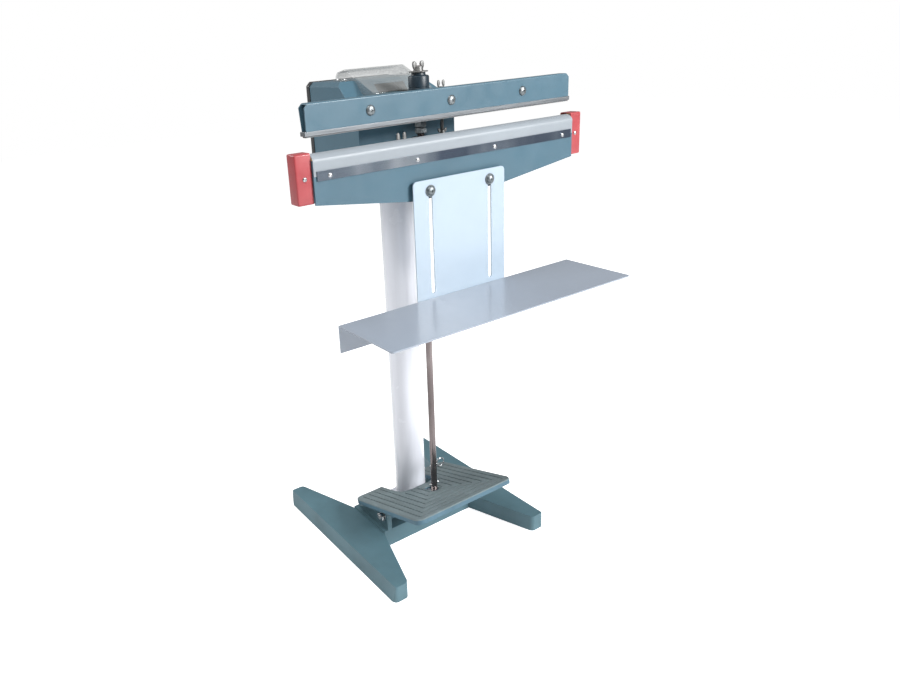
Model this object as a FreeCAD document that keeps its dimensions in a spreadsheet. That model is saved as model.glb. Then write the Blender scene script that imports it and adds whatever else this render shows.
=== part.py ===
import FreeCAD, Part
import os
import re
import Sketcher

# Foot pedal heat sealer on a column, modelled in millimetres.
# Origin on the floor under the column axis, +X to the operator's right, +Y away from them, +Z up.

# Driving sizes, each one cell of the sheet
SIZES = {
    # Cast feet
    "foot_half_length": 192.0,
    "foot_outer_x": 178.0,
    "foot_inner_x": 106.0,
    "foot_tip_x": 152.0,
    "foot_straight_y": 52.0,
    "foot_height": 33.0,
    "foot_wall": 6.0,
    "foot_draft": 4.0,
    "foot_tip_radius": 9.0,
    # Cast bridge between the feet
    "bridge_half_depth": 54.5,
    "bridge_height": 36.0,
    "bridge_wall": 6.0,
    "bridge_pad_radius": 53.0,
    "ear_inner_x": 88.0,
    "ear_thickness": 10.0,
    "ear_top_z": 79.0,
    "ear_flat_y": 26.0,
    "ear_heel_y": 50.0,
    "leg_bolt_radius": 5.0,
    "leg_bolt_y": 28.0,
    "leg_bolt_z": 17.0,
    # Column and its two sockets
    "column_radius": 30.0,
    "column_wall": 2.5,
    "column_top_z": 694.0,
    "head_collar_height": 20.0,
    "socket_wall": 7.0,
    "socket_flange_half": 46.0,
    "socket_flange_thickness": 9.0,
    "socket_top_z": 56.0,
    "socket_bolt_radius": 4.0,
    "socket_bolt_offset": 35.0,
    # Pedal, drawn in its own tilted frame about the axle
    "axle_y": -40.0,
    "axle_z": 62.0,
    "axle_radius": 5.0,
    "pedal_tilt": 17.3,
    "pedal_half_width": 112.0,
    "pedal_front": 151.0,
    "pedal_back": 76.0,
    "pedal_underside": 22.3,
    "pedal_plate": 5.0,
    "pedal_rim_height": 10.0,
    "pedal_rim_wall": 4.0,
    "pedal_corner_radius": 15.0,
    "pedal_notch_half_width": 45.0,
    "pedal_notch_front": -2.0,
    "pedal_notch_radius": 26.0,
    "pedal_slot_front": 60.0,
    "pedal_slot_back": 22.0,
    "pedal_slot_half_width": 9.5,
    "pedal_lug_x": 74.5,
    "pedal_lug_thickness": 13.0,
    "pedal_lug_radius": 12.0,
    "pedal_groove_pitch": 14.0,
    "pedal_groove_width": 2.4,
    "pedal_groove_depth": 1.4,
    "pedal_groove_margin": 12.0,
    "bush_wall": 1.5,
    # Pull rod and what it carries
    "rod_y": -79.0,
    "rod_radius": 6.0,
    "rod_bottom_z": 62.0,
    "rod_tip": 17.0,
    "ball_nut_z": 83.7,
    "ball_nut_radius": 16.0,
    "ball_nut_half_width": 14.5,
    "rod_nut_radius": 10.4,
    "rod_nut_height": 9.0,
    "spring_length": 38.5,
    "spring_washer_radius": 14.0,
    "spring_wire_radius": 1.1,
    "spring_mean_radius": 9.0,
    "spring_turns": 6.0,
    "ring_pin_z": 157.0,
    "ring_radius": 8.5,
    "ring_wire_radius": 1.1,
    "cotter_z": 116.0,
    "cotter_radius": 1.2,
    # Pressure sleeve and wing nut on top of the rod
    "swivel_lift": 6.0,
    "sleeve_radius": 16.8,
    "sleeve_skirt": 3.0,
    "sleeve_rise": 21.0,
    "sleeve_neck_height": 5.0,
    "sleeve_neck_radius": 11.5,
    "sleeve_ball_radius": 10.5,
    "top_washer_radius": 15.5,
    "top_washer_thickness": 1.6,
    "wing_hub_radius": 6.8,
    "wing_hub_height": 7.5,
    "wing_span": 11.0,
    "wing_rise": 15.0,
    "wing_thickness": 3.4,
    # Head housing
    "housing_half_width": 99.0,
    "housing_front_y": -46.0,
    "housing_back_y": 102.0,
    "head_plate_thickness": 12.0,
    "housing_height": 164.0,
    "housing_brow_y": 12.0,
    "housing_chin_drop": 58.0,
    "housing_bevel": 31.0,
    "housing_fold": 7.0,
    "sheet": 2.0,
    "arm_opening_half": 30.0,
    "controls_drop": 78.0,
    "pot_setback": 10.0,
    "inlet_inset": 39.0,
    "inlet_height": 29.0,
    "rear_cover_depth": 10.0,
    # Hinge of the upper jaw
    "hinge_y": 75.0,
    "hinge_height": 94.0,
    "shaft_radius": 8.0,
    "cheek_inner_x": 34.0,
    "cheek_thickness": 6.0,
    "arm_half_width": 21.0,
    "arm_rise": 46.0,
    "arm_depth": 16.0,
    "arm_wall": 5.0,
    "arm_hub_radius": 17.0,
    "arm_seat_radius": 9.0,
    "running_fit": 0.05,
    # Clear hood
    "hood_left_reach": 64.0,
    "hood_back_y": 72.0,
    "hood_front_y": -42.0,
    "hood_crest_y": 38.0,
    "hood_rise": 18.0,
    "hood_slope_drop": 36.5,
    "hood_wall": 2.0,
    "hood_round": 22.0,
    "hood_foot": 11.0,
    # Upper jaw
    "upper_end_inset": 0.5,
    "upper_end_chamfer": 6.0,
    "upper_front_y": -159.0,
    "upper_rise": 10.0,
    "upper_height": 37.5,
    "upper_flange_depth": 18.0,
    "upper_foot_depth": 13.0,
    "upper_sheet": 2.0,
    "holder_overhang": 3.0,
    "pad_end_inset": 3.0,
    "holder_height": 5.0,
    "pad_height": 3.0,
    "pad_width": 12.0,
    "jaw_bolt_spacing": 148.5,
    "jaw_bolt_drop": 19.5,
    "jaw_bolt_radius": 4.0,
    "jaw_bar_half_length": 176.0,
    "jaw_bar_thickness": 8.0,
    "arm_bolt_reach": 12.0,
    # Lower jaw
    "jaw_half_length": 256.0,
    "lower_front_y": -169.0,
    "lower_depth": 25.0,
    "lower_rise": 74.0,
    "lower_end_height": 62.0,
    "lower_mid_height": 84.0,
    "lower_mid_x": 90.0,
    "lower_sheet": 3.0,
    "crest_radius": 13.4,
    "crest_half_width": 11.6,
    "crest_rise": 7.6,
    "element_width": 5.0,
    "element_thickness": 0.3,
    "cloth": 0.8,
    "cloth_lift": 0.35,
    "cloth_drop": 22.0,
    "strip_low_drop": 28.5,
    "strip_top_drop": 15.0,
    "strip_end_inset": 5.0,
    "strip_thickness": 1.2,
    "strip_screw_inset": 25.6,
    "strip_screw_drop": 22.5,
    "strip_screw_radius": 2.0,
    "cap_length": 25.0,
    "cap_wall": 2.5,
    "cap_roof": 1.2,
    "cap_drop": 60.2,
    "cap_rise": 10.8,
    "cap_setback": 4.0,
    "cap_rear_overhang": 2.5,
    "cap_screw_inset": 12.0,
    "cap_screw_drop": 24.0,
    # Bracket that carries the lower jaw
    "bracket_half_width": 32.0,
    "bracket_sheet": 4.0,
    "bracket_foot": 2.0,
    "bracket_height": 39.0,
    "bracket_tab": 24.0,
    "guide_height": 25.0,
    "guide_thickness": 4.0,
    "guide_travel": 5.5,
    # Bag shelf
    "shelf_half_length": 241.0,
    "shelf_front_y": -315.0,
    "shelf_height": 39.0,
    "shelf_sheet": 2.0,
    "shelf_flange": 45.0,
    "plate_half_width": 92.0,
    "plate_drop": 54.0,
    "plate_height": 228.0,
    "plate_gap": 5.5,
    "plate_corner_radius": 7.0,
    "slot_x": 60.0,
    "slot_half_width": 3.4,
    "slot_drop": 178.0,
    "shelf_bolt_drop": 71.0,
    "shelf_bolt_radius": 3.0,
    "shelf_washer_radius": 9.0,
    # Switch adjuster at the arm's side
    "adjuster_x": 45.0,
    "adjuster_radius": 3.0,
    "adjuster_clearance": 28.0,
    "adjuster_rise": 6.0,
    # Small clearances
    "fit": 0.1,
    "gap": 0.3,
}

# Levels that follow from the sizes above, as formulas in the sheet
LEVELS = {
    "housing_floor_z": "column_top_z+head_plate_thickness",
    "housing_top_z": "housing_floor_z+housing_height",
    "housing_chin_z": "housing_top_z-housing_chin_drop",
    "hinge_z": "housing_floor_z+hinge_height",
    "arm_top_z": "hinge_z+arm_rise",
    "adjuster_top_z": "arm_top_z+adjuster_rise",
    "swivel_z": "arm_top_z+swivel_lift",
    "sleeve_bottom_z": "swivel_z-sleeve_skirt",
    "sleeve_shoulder_z": "swivel_z+sleeve_rise",
    "sleeve_top_z": "sleeve_shoulder_z+sleeve_neck_height",
    "rod_top_z": "sleeve_top_z+rod_tip",
    "hood_crest_z": "housing_top_z+hood_rise",
    "hood_front_z": "hood_crest_z-hood_slope_drop",
    "spring_top_z": "guide_z+guide_thickness+spring_length",
    "upper_half_length": "jaw_half_length-upper_end_inset",
    "holder_half_length": "upper_half_length+holder_overhang",
    "cap_screw_x": "jaw_half_length+cap_screw_inset",
    "hood_right_x": "housing_half_width-housing_bevel-hood_foot",
    "controls_z": "housing_top_z-controls_drop",
    "pot_x": "housing_half_width-pot_setback",
    "inlet_x": "housing_half_width-inlet_inset",
    "inlet_z": "housing_floor_z+inlet_height",
    "bracket_low_z": "housing_floor_z+bracket_foot",
    "bracket_top_z": "bracket_low_z+bracket_height",
    "guide_z": "bracket_low_z+guide_height",
    "lower_top_z": "housing_floor_z+lower_rise",
    "lower_end_z": "lower_top_z-lower_end_height",
    "lower_mid_z": "lower_top_z-lower_mid_height",
    "crest_z": "lower_top_z+crest_rise",
    "cloth_low_z": "lower_top_z-cloth_drop",
    "strip_low_z": "lower_top_z-strip_low_drop",
    "strip_top_z": "lower_top_z-strip_top_drop",
    "strip_screw_z": "lower_top_z-strip_screw_drop",
    "cap_low_z": "lower_top_z-cap_drop",
    "cap_top_z": "lower_top_z+cap_rise",
    "cap_screw_z": "lower_top_z-cap_screw_drop",
    "upper_top_z": "arm_top_z+upper_rise",
    "upper_web_low_z": "upper_top_z-upper_height",
    "jaw_bolt_z": "upper_top_z-jaw_bolt_drop",
    "adjuster_low_z": "bracket_top_z+adjuster_clearance",
    "plate_top_z": "lower_top_z-plate_drop",
    "plate_low_z": "plate_top_z-plate_height",
    "shelf_bolt_z": "lower_top_z-shelf_bolt_drop",
    "slot_low_z": "plate_top_z-slot_drop",
    "shelf_z": "plate_low_z+shelf_height",
}

doc = FreeCAD.newDocument("foot_pedal_sealer")
sheet = doc.addObject("Spreadsheet::Sheet", "Sizes")
for row, (alias, value) in enumerate([*SIZES.items(), *LEVELS.items()], 1):
    sheet.set("A%d" % row, alias)
    sheet.set("B%d" % row, "=" + value if alias in LEVELS else repr(value))
    sheet.setAlias("B%d" % row, alias)
doc.recompute()

# Labels of the finished sub-parts, in building order
NODES = []


def cells(text):
    """Turn bare size names into references to the sheet."""
    def refer(match):
        word = match.group(0)
        return "Sizes." + word if word in SIZES or word in LEVELS else word
    return re.sub(r"[A-Za-z_]\w*", refer, str(text))


def number(text):
    """The present value of an expression, as a starting guess for a sketch."""
    return float(sheet.evalExpression(cells(text)))


def bind(obj, prop, text):
    obj.setExpression(prop, cells(text))


def move(obj, x, y, z):
    bind(obj, "Placement.Base.x", x)
    bind(obj, "Placement.Base.y", y)
    bind(obj, "Placement.Base.z", z)
    return obj


def turn(obj, axis, angle):
    """Turn about one of the object's own axes, by an angle in degrees."""
    obj.Placement = FreeCAD.Placement(obj.Placement.Base, FreeCAD.Rotation(FreeCAD.Vector(*axis), 1))
    bind(obj, "Placement.Rotation.Angle", angle)
    return obj


def block(name, x, y, z):
    """A box between two limits along each axis."""
    solid = doc.addObject("Part::Box", name)
    bind(solid, "Length", "(%s)-(%s)" % (x[1], x[0]))
    bind(solid, "Width", "(%s)-(%s)" % (y[1], y[0]))
    bind(solid, "Height", "(%s)-(%s)" % (z[1], z[0]))
    return move(solid, x[0], y[0], z[0])


ALONG = {"Z": None, "X": (0, 1, 0, 90), "Y": (1, 0, 0, -90)}


def aim(solid, axis):
    """Point a solid of revolution along a world axis."""
    if ALONG[axis]:
        x, y, z, angle = ALONG[axis]
        solid.Placement = FreeCAD.Placement(FreeCAD.Vector(), FreeCAD.Rotation(FreeCAD.Vector(x, y, z), angle))
    return solid


def rod(name, axis, radius, start, length):
    """A cylinder that starts at a point and runs along +X, +Y or +Z."""
    solid = aim(doc.addObject("Part::Cylinder", name), axis)
    bind(solid, "Radius", radius)
    bind(solid, "Height", length)
    return move(solid, *start)


def cone(name, axis, radius1, radius2, start, length):
    solid = aim(doc.addObject("Part::Cone", name), axis)
    bind(solid, "Radius1", radius1)
    bind(solid, "Radius2", radius2)
    bind(solid, "Height", length)
    return move(solid, *start)


def ball(name, radius, centre):
    solid = doc.addObject("Part::Sphere", name)
    bind(solid, "Radius", radius)
    return move(solid, *centre)


def hexagon(name, axis, radius, start, length):
    """A hexagonal prism, its radius to the corners."""
    solid = aim(doc.addObject("Part::Prism", name), axis)
    solid.Polygon = 6
    bind(solid, "Circumradius", radius)
    bind(solid, "Height", length)
    return move(solid, *start)


def cut(name, base, *tools):
    """The base less its tools, joined to one tool first."""
    tool = tools[0] if len(tools) == 1 else join(name + "_tools", *tools)
    result = doc.addObject("Part::Cut", name)
    result.Base = base
    result.Tool = tool
    return result


def join(name, *solids):
    result = doc.addObject("Part::MultiFuse", name)
    result.Shapes = list(solids)
    return result


def group(name, *solids):
    """Separate solids that stand for identical pieces."""
    result = doc.addObject("Part::Compound", name)
    result.Links = list(solids)
    return result


def common(name, first, second):
    result = doc.addObject("Part::Common", name)
    result.Base = first
    result.Tool = second
    return result


def node(obj, label):
    """Register a finished sub-part under its own label."""
    obj.Label = label
    NODES.append(obj)
    return obj


# Where each sketch plane's normal points, and how a range along it becomes an offset
PLANES = {
    "XY_Plane": lambda low, high: low,
    "XZ_Plane": lambda low, high: "-(%s)" % high,
    "YZ_Plane": lambda low, high: low,
}


def sketch_on(body, plane, offset):
    sketch = body.newObject("Sketcher::SketchObject", body.Name + "_sketch")
    origin = [item for item in body.Origin.OriginFeatures if item.Role == plane][0]
    sketch.AttachmentSupport = [(origin, "")]
    sketch.MapMode = "FlatFace"
    bind(sketch, "AttachmentOffset.Base.z", offset)
    return sketch


def outline(sketch, points):
    """A closed outline of straight runs, each corner held by two bound dimensions."""
    places = [(number(u), number(v)) for u, v in points]
    count = len(points)
    for index in range(count):
        start = FreeCAD.Vector(*places[index], 0)
        end = FreeCAD.Vector(*places[(index + 1) % count], 0)
        sketch.addGeometry(Part.LineSegment(start, end), False)
    for index in range(count):
        sketch.addConstraint(Sketcher.Constraint("Coincident", index, 2, (index + 1) % count, 1))
    for index, (u, v) in enumerate(points):
        across = Sketcher.Constraint("DistanceX", -1, 1, index, 1, places[index][0])
        up = Sketcher.Constraint("DistanceY", -1, 1, index, 1, places[index][1])
        bind(sketch, "Constraints[%d]" % sketch.addConstraint(across), u)
        bind(sketch, "Constraints[%d]" % sketch.addConstraint(up), v)


def profile(name, plane, points, low, high):
    """A body padded from an outline, between two limits along the plane's axis."""
    body = doc.addObject("PartDesign::Body", name)
    sketch = sketch_on(body, plane, PLANES[plane](low, high))
    outline(sketch, points)
    pad = body.newObject("PartDesign::Pad", name + "_pad")
    pad.Profile = sketch
    bind(pad, "Length", "(%s)-(%s)" % (high, low))
    return body


def round_corners(body, radius, chosen):
    """Fillet the edges whose middle point the given test accepts."""
    doc.recompute()
    feature = body.Tip
    names = []
    for index, edge in enumerate(feature.Shape.Edges, 1):
        middle = edge.valueAt((edge.FirstParameter + edge.LastParameter) / 2)
        if chosen(edge, middle):
            names.append("Edge%d" % index)
    fillet = body.newObject("PartDesign::Fillet", body.Name + "_round")
    fillet.Base = (feature, names)
    bind(fillet, "Radius", radius)
    return body


def runs_along(edge, axis):
    """Whether an edge is straight and parallel to a world axis."""
    if not isinstance(edge.Curve, Part.Line):
        return False
    return abs(edge.Curve.Direction.dot(FreeCAD.Vector(*axis))) > 0.999


def dome_screw(name, head_radius, head_height, shank_radius, face, shank):
    """A domed screw head standing out of a face towards -Y, its shank running into +Y."""
    x, y, z = face
    sphere = ball(name + "_sphere", "((%s)^2+(%s)^2)/(2*(%s))" % (head_radius, head_height, head_height),
                  (x, "(%s)+((%s)^2-(%s)^2)/(2*(%s))" % (y, head_radius, head_height, head_height), z))
    slab = rod(name + "_slab", "Y", "(%s)+1" % head_radius, (x, "(%s)-(%s)-1" % (y, head_height), z),
               "(%s)+1" % head_height)
    head = common(name + "_head", sphere, slab)
    stem = rod(name + "_stem", "Y", shank_radius, (x, y, z), shank)
    return join(name, head, stem)


def foot(label, side):
    """One V-shaped cast foot, hollow below, with a drafted outer face."""
    tip = "foot_half_length"
    plan = profile(label + "_plan", "XY_Plane", [
        ("%d*(foot_outer_x+foot_draft)" % side, "-" + tip),
        ("%d*(foot_outer_x+foot_draft)" % side, tip),
        ("%d*foot_tip_x" % side, tip),
        ("%d*foot_inner_x" % side, "foot_straight_y"),
        ("%d*foot_inner_x" % side, "-foot_straight_y"),
        ("%d*foot_tip_x" % side, "-" + tip),
    ], "0", "foot_height")
    plan = round_corners(plan, "foot_tip_radius", lambda edge, middle: runs_along(edge, (0, 0, 1))
                         and abs(middle.y) > number("foot_half_length") - 1)
    section = profile(label + "_section", "XZ_Plane", [
        ("%d*(foot_inner_x-1)" % side, "0"),
        ("%d*(foot_outer_x+foot_draft)" % side, "0"),
        ("%d*foot_outer_x" % side, "foot_height"),
        ("%d*(foot_inner_x-1)" % side, "foot_height"),
    ], "-foot_half_length-1", "foot_half_length+1")
    shape = common(label + "_casting", plan, section)
    slope = "(foot_tip_x-foot_inner_x)/(foot_half_length-foot_straight_y)"
    hollow = profile(label + "_hollow", "XY_Plane", [
        ("%d*(foot_outer_x-foot_wall)" % side, "-foot_half_length+3*foot_wall"),
        ("%d*(foot_outer_x-foot_wall)" % side, "foot_half_length-3*foot_wall"),
        ("%d*(foot_tip_x+foot_wall-3*foot_wall*%s)" % (side, slope), "foot_half_length-3*foot_wall"),
        ("%d*(foot_inner_x+foot_wall)" % side, "foot_straight_y"),
        ("%d*(foot_inner_x+foot_wall)" % side, "-foot_straight_y"),
        ("%d*(foot_tip_x+foot_wall-3*foot_wall*%s)" % (side, slope), "-foot_half_length+3*foot_wall"),
    ], "-1", "foot_height-foot_wall")
    start = "foot_inner_x-1" if side > 0 else "-foot_inner_x-foot_wall-1"
    holes = [rod("%s_hole_%d" % (label, index), "X", "leg_bolt_radius+fit",
                 (start, "%d*leg_bolt_y" % way, "leg_bolt_z"), "foot_wall+2")
             for index, way in enumerate((-1, 1))]
    return node(cut(label, shape, hollow, *holes), label)


def base_bridge():
    """The cast channel across the feet, with its floor pad and two upright ears."""
    ends = ("-foot_inner_x", "foot_inner_x")
    shell = block("bridge_shell", ends, ("-bridge_half_depth", "bridge_half_depth"), ("0", "bridge_height"))
    end_wall = "foot_inner_x-bridge_wall-2"
    hollow = block("bridge_hollow", ("-(%s)" % end_wall, end_wall),
                   ("-bridge_half_depth+bridge_wall", "bridge_half_depth-bridge_wall"),
                   ("-1", "bridge_height-bridge_wall"))
    pad = rod("bridge_pad", "Z", "bridge_pad_radius", ("0", "0", "0"), "bridge_height")
    solids = [cut("bridge_channel", shell, hollow), pad]
    for name, side in (("left", -1), ("right", 1)):
        inner, outer = "ear_inner_x", "ear_inner_x+ear_thickness"
        low, high = (inner, outer) if side > 0 else ("-(%s)" % outer, "-" + inner)
        solids.append(profile("ear_" + name, "YZ_Plane", [
            ("-bridge_half_depth", "bridge_height-bridge_wall"),
            ("-bridge_half_depth", "ear_top_z-4"),
            ("-bridge_half_depth+4", "ear_top_z"),
            ("-ear_flat_y", "ear_top_z"),
            ("ear_heel_y", "bridge_height"),
            ("ear_heel_y", "bridge_height-bridge_wall"),
        ], low, high))
    casting = join("bridge_casting", *solids)
    bore = rod("ear_bore", "X", "axle_radius+fit", ("-foot_inner_x", "axle_y", "axle_z"), "2*foot_inner_x")
    tools = [bore]
    for index, (way, side) in enumerate(((-1, -1), (1, -1), (-1, 1), (1, 1))):
        start = "foot_inner_x-bridge_wall-3" if side > 0 else "-foot_inner_x-1"
        tools.append(rod("bridge_end_hole_%d" % index, "X", "leg_bolt_radius+fit",
                         (start, "%d*leg_bolt_y" % way, "leg_bolt_z"), "bridge_wall+4"))
        tools.append(rod("bridge_tap_%d" % index, "Z", "socket_bolt_radius+fit",
                         ("%d*socket_bolt_offset" % side, "%d*socket_bolt_offset" % way,
                          "bridge_height-20"), "21"))
    return node(cut("base_bridge", casting, *tools), "base_bridge")


def leg_bolts():
    """Hex bolts that hold each foot to the bridge's end walls, heads inside the hollow feet."""
    bolts = []
    for index, (way, side) in enumerate(((-1, -1), (1, -1), (-1, 1), (1, 1))):
        y = "%d*leg_bolt_y" % way
        face = "foot_inner_x+foot_wall"
        head_start = face if side > 0 else "-(%s)-6" % face
        stem_start = "foot_inner_x-bridge_wall-2" if side > 0 else "-(%s)" % face
        head = hexagon("leg_bolt_head_%d" % index, "X", "leg_bolt_radius*1.8", (head_start, y, "leg_bolt_z"), "6")
        stem = rod("leg_bolt_stem_%d" % index, "X", "leg_bolt_radius", (stem_start, y, "leg_bolt_z"),
                   "foot_wall+bridge_wall+2")
        bolts.append(join("leg_bolt_%d" % index, head, stem))
    return node(group("leg_bolts", *bolts), "leg_bolts")


def column():
    tube = rod("column_outside", "Z", "column_radius", ("0", "0", "bridge_height"), "column_top_z-bridge_height")
    hollow = rod("column_inside", "Z", "column_radius-column_wall", ("0", "0", "bridge_height-1"),
                 "column_top_z-bridge_height+2")
    return node(cut("column", tube, hollow), "column")


def column_socket():
    """Flanged collar that bolts to the bridge and grips the column's foot."""
    half = "socket_flange_half"
    flange = profile("socket_flange", "XY_Plane", [("-" + half, "-" + half), (half, "-" + half),
                                                   (half, half), ("-" + half, half)],
                     "bridge_height", "bridge_height+socket_flange_thickness")
    flange = round_corners(flange, "8", lambda edge, middle: runs_along(edge, (0, 0, 1)))
    collar = cone("socket_collar", "Z", "column_radius+socket_wall+3", "column_radius+socket_wall",
                  ("0", "0", "bridge_height+1"), "socket_top_z-bridge_height-1")
    bore = rod("socket_bore", "Z", "column_radius+fit", ("0", "0", "bridge_height-1"), "socket_top_z")
    tools = [bore]
    for index, (a, b) in enumerate(((-1, -1), (1, -1), (-1, 1), (1, 1))):
        tools.append(rod("socket_hole_%d" % index, "Z", "socket_bolt_radius+fit",
                         ("%d*socket_bolt_offset" % a, "%d*socket_bolt_offset" % b, "bridge_height-1"),
                         "socket_flange_thickness+2"))
    tools.append(rod("socket_set_hole", "Y", "3+fit", ("0", "column_radius-1", "socket_top_z-5"), "socket_wall+6"))
    return node(cut("column_socket", join("socket_body", flange, collar), *tools), "column_socket")


def socket_bolts():
    """Four flange bolts and the square-headed set screw that grips the column."""
    bolts = []
    top = "bridge_height+socket_flange_thickness"
    for index, (a, b) in enumerate(((-1, -1), (1, -1), (-1, 1), (1, 1))):
        x, y = "%d*socket_bolt_offset" % a, "%d*socket_bolt_offset" % b
        head = hexagon("socket_bolt_head_%d" % index, "Z", "socket_bolt_radius*1.8", (x, y, top), "5")
        stem = rod("socket_bolt_stem_%d" % index, "Z", "socket_bolt_radius", (x, y, "bridge_height-18"),
                   "socket_flange_thickness+18.5")
        bolts.append(join("socket_bolt_%d" % index, head, stem))
    z = "socket_top_z-5"
    stem = rod("set_screw_stem", "Y", "3", ("0", "column_radius", z), "socket_wall+8")
    head = block("set_screw_head", ("-3.5", "3.5"), ("column_radius+socket_wall+4", "column_radius+socket_wall+10"),
                 (z + "-3.5", z + "+3.5"))
    bolts.append(join("set_screw", stem, head))
    return node(group("socket_bolts", *bolts), "socket_bolts")


def pedal_axle():
    reach = "ear_inner_x+ear_thickness+10"
    return node(rod("pedal_axle", "X", "axle_radius", ("-(%s)" % reach, "axle_y", "axle_z"), "2*(%s)" % reach),
                "pedal_axle")


def axle_nuts():
    nuts = []
    for side in (-1, 1):
        name = "axle_nut_left" if side < 0 else "axle_nut_right"
        face = "ear_inner_x+ear_thickness"
        washer_start = face if side > 0 else "-(%s)-1.5" % face
        nut_start = "%s+1.5" % face if side > 0 else "-(%s)-8.5" % face
        washer = rod(name + "_washer", "X", "axle_radius*2", (washer_start, "axle_y", "axle_z"), "1.5")
        nut = hexagon(name + "_hex", "X", "axle_radius*1.75", (nut_start, "axle_y", "axle_z"), "7")
        hole = rod(name + "_hole", "X", "axle_radius+0.02", ("%d*(%s)-15" % (side, face), "axle_y", "axle_z"), "30")
        nuts.append(cut(name, join(name + "_solid", washer, nut), hole))
    return node(group("axle_nuts", *nuts), "axle_nuts")


def pedal_outline(inset, corner="0"):
    """Plan of the tread in the pedal's own frame, moved inwards by an inset."""
    side = "pedal_half_width-(%s)" % inset
    notch = "pedal_notch_half_width+(%s)" % inset
    front = "-pedal_front+(%s)" % inset
    back = "pedal_back-(%s)" % inset
    head = "pedal_notch_front-(%s)" % inset
    return [("-(%s)" % side, front), (side, front), (side, back), (notch, back), (notch, head),
            ("-(%s)" % notch, head), ("-(%s)" % notch, back), ("-(%s)" % side, back)]


def pedal():
    """Ribbed cast tread with a downturned rim, a notch round the column and two hinge lugs."""
    top = "pedal_underside+pedal_plate"
    plate = profile("pedal_plate_body", "XY_Plane", pedal_outline("0"), top + "-pedal_rim_height", top)
    plate = round_corners(plate, "pedal_corner_radius", lambda edge, middle: runs_along(edge, (0, 0, 1))
                          and (abs(middle.x) > number("pedal_notch_half_width") + 1))
    plate = round_corners(plate, "pedal_notch_radius", lambda edge, middle: runs_along(edge, (0, 0, 1))
                          and middle.y < number("pedal_notch_front") + 0.5
                          and middle.y > number("pedal_notch_front") - 0.5)
    plate = round_corners(plate, "2", lambda edge, middle: abs(middle.z - number(top)) < 0.01)
    under = profile("pedal_under", "XY_Plane", pedal_outline("pedal_rim_wall"),
                    top + "-pedal_rim_height-1", "pedal_underside")
    under = round_corners(under, "pedal_corner_radius-pedal_rim_wall", lambda edge, middle:
                          runs_along(edge, (0, 0, 1)) and abs(middle.x) > number("pedal_notch_half_width") + 6)
    under = round_corners(under, "pedal_notch_radius+pedal_rim_wall", lambda edge, middle:
                          runs_along(edge, (0, 0, 1))
                          and abs(middle.y - number("pedal_notch_front-pedal_rim_wall")) < 0.5)
    slot_length = "pedal_slot_front-pedal_slot_back-2*pedal_slot_half_width"
    slot = join("pedal_slot",
                block("pedal_slot_run", ("-pedal_slot_half_width", "pedal_slot_half_width"),
                      ("-pedal_slot_front+pedal_slot_half_width", "-pedal_slot_back-pedal_slot_half_width"),
                      ("pedal_underside-8", top + "+2")),
                rod("pedal_slot_near", "Z", "pedal_slot_half_width",
                    ("0", "-pedal_slot_front+pedal_slot_half_width", "pedal_underside-8"), "pedal_plate+12"),
                rod("pedal_slot_far", "Z", "pedal_slot_half_width",
                    ("0", "-pedal_slot_back-pedal_slot_half_width", "pedal_underside-8"), "pedal_plate+12"))
    grooves = []
    for index in range(7):
        reach = "pedal_half_width-pedal_groove_margin-%d*pedal_groove_pitch" % index
        near = "-pedal_front+pedal_groove_margin+%d*pedal_groove_pitch" % index
        far = "pedal_back-pedal_groove_margin" if index < 4 else "pedal_notch_front-pedal_groove_margin/2"
        depth = (top + "-pedal_groove_depth", top + "+1")
        grooves.append(block("groove_front_%d" % index, ("-(%s)" % reach, reach),
                             (near, near + "+pedal_groove_width"), depth))
        for name, low in (("left", "-(%s)" % reach), ("right", "%s-pedal_groove_width" % reach)):
            grooves.append(block("groove_%s_%d" % (name, index), (low, low + "+pedal_groove_width"),
                                 (near, far), depth))
    tread = cut("pedal_tread", plate, under, slot, *grooves)
    lugs = []
    for name, side in (("left", -1), ("right", 1)):
        start = "pedal_lug_x" if side > 0 else "-pedal_lug_x-pedal_lug_thickness"
        boss = rod("lug_boss_" + name, "X", "pedal_lug_radius", (start, "0", "0"), "pedal_lug_thickness")
        web = profile("lug_web_" + name, "YZ_Plane", [
            ("-pedal_lug_radius", "0"), ("pedal_lug_radius", "0"),
            ("pedal_lug_radius+14", "pedal_underside+1"), ("-pedal_lug_radius-40", "pedal_underside+1"),
        ], start, start + "+pedal_lug_thickness")
        lugs.append(join("lug_" + name, boss, web))
    ribs = [block("pedal_rib_%d" % index, (x, x + "+4"), ("-pedal_front+pedal_rim_wall/2", "-pedal_lug_radius"),
                  ("pedal_underside-5", "pedal_underside+1")) for index, x in enumerate(("-24", "20"))]
    bore = rod("pedal_bore", "X", "axle_radius+bush_wall", ("-pedal_half_width", "0", "0"), "2*pedal_half_width")
    solid = cut("pedal", join("pedal_solid", tread, *(lugs + ribs)), bore)
    return node(tilt(solid), "pedal")


def tilt(solid):
    """Lay a solid drawn in the pedal's frame at the pedal's resting tilt, on the axle."""
    turn(solid, (1, 0, 0), "-pedal_tilt")
    return move(solid, "0", "axle_y", "axle_z")


def pedal_bushes():
    bushes = []
    for name, side in (("left", -1), ("right", 1)):
        start = "pedal_lug_x" if side > 0 else "-pedal_lug_x-pedal_lug_thickness"
        shell = rod("bush_shell_" + name, "X", "axle_radius+bush_wall-0.02", (start, "axle_y", "axle_z"),
                    "pedal_lug_thickness")
        hole = rod("bush_hole_" + name, "X", "axle_radius+running_fit", (start + "-1", "axle_y", "axle_z"),
                   "pedal_lug_thickness+2")
        bushes.append(cut("pedal_bush_" + name, shell, hole))
    return node(group("pedal_bushes", *bushes), "pedal_bushes")


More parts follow.
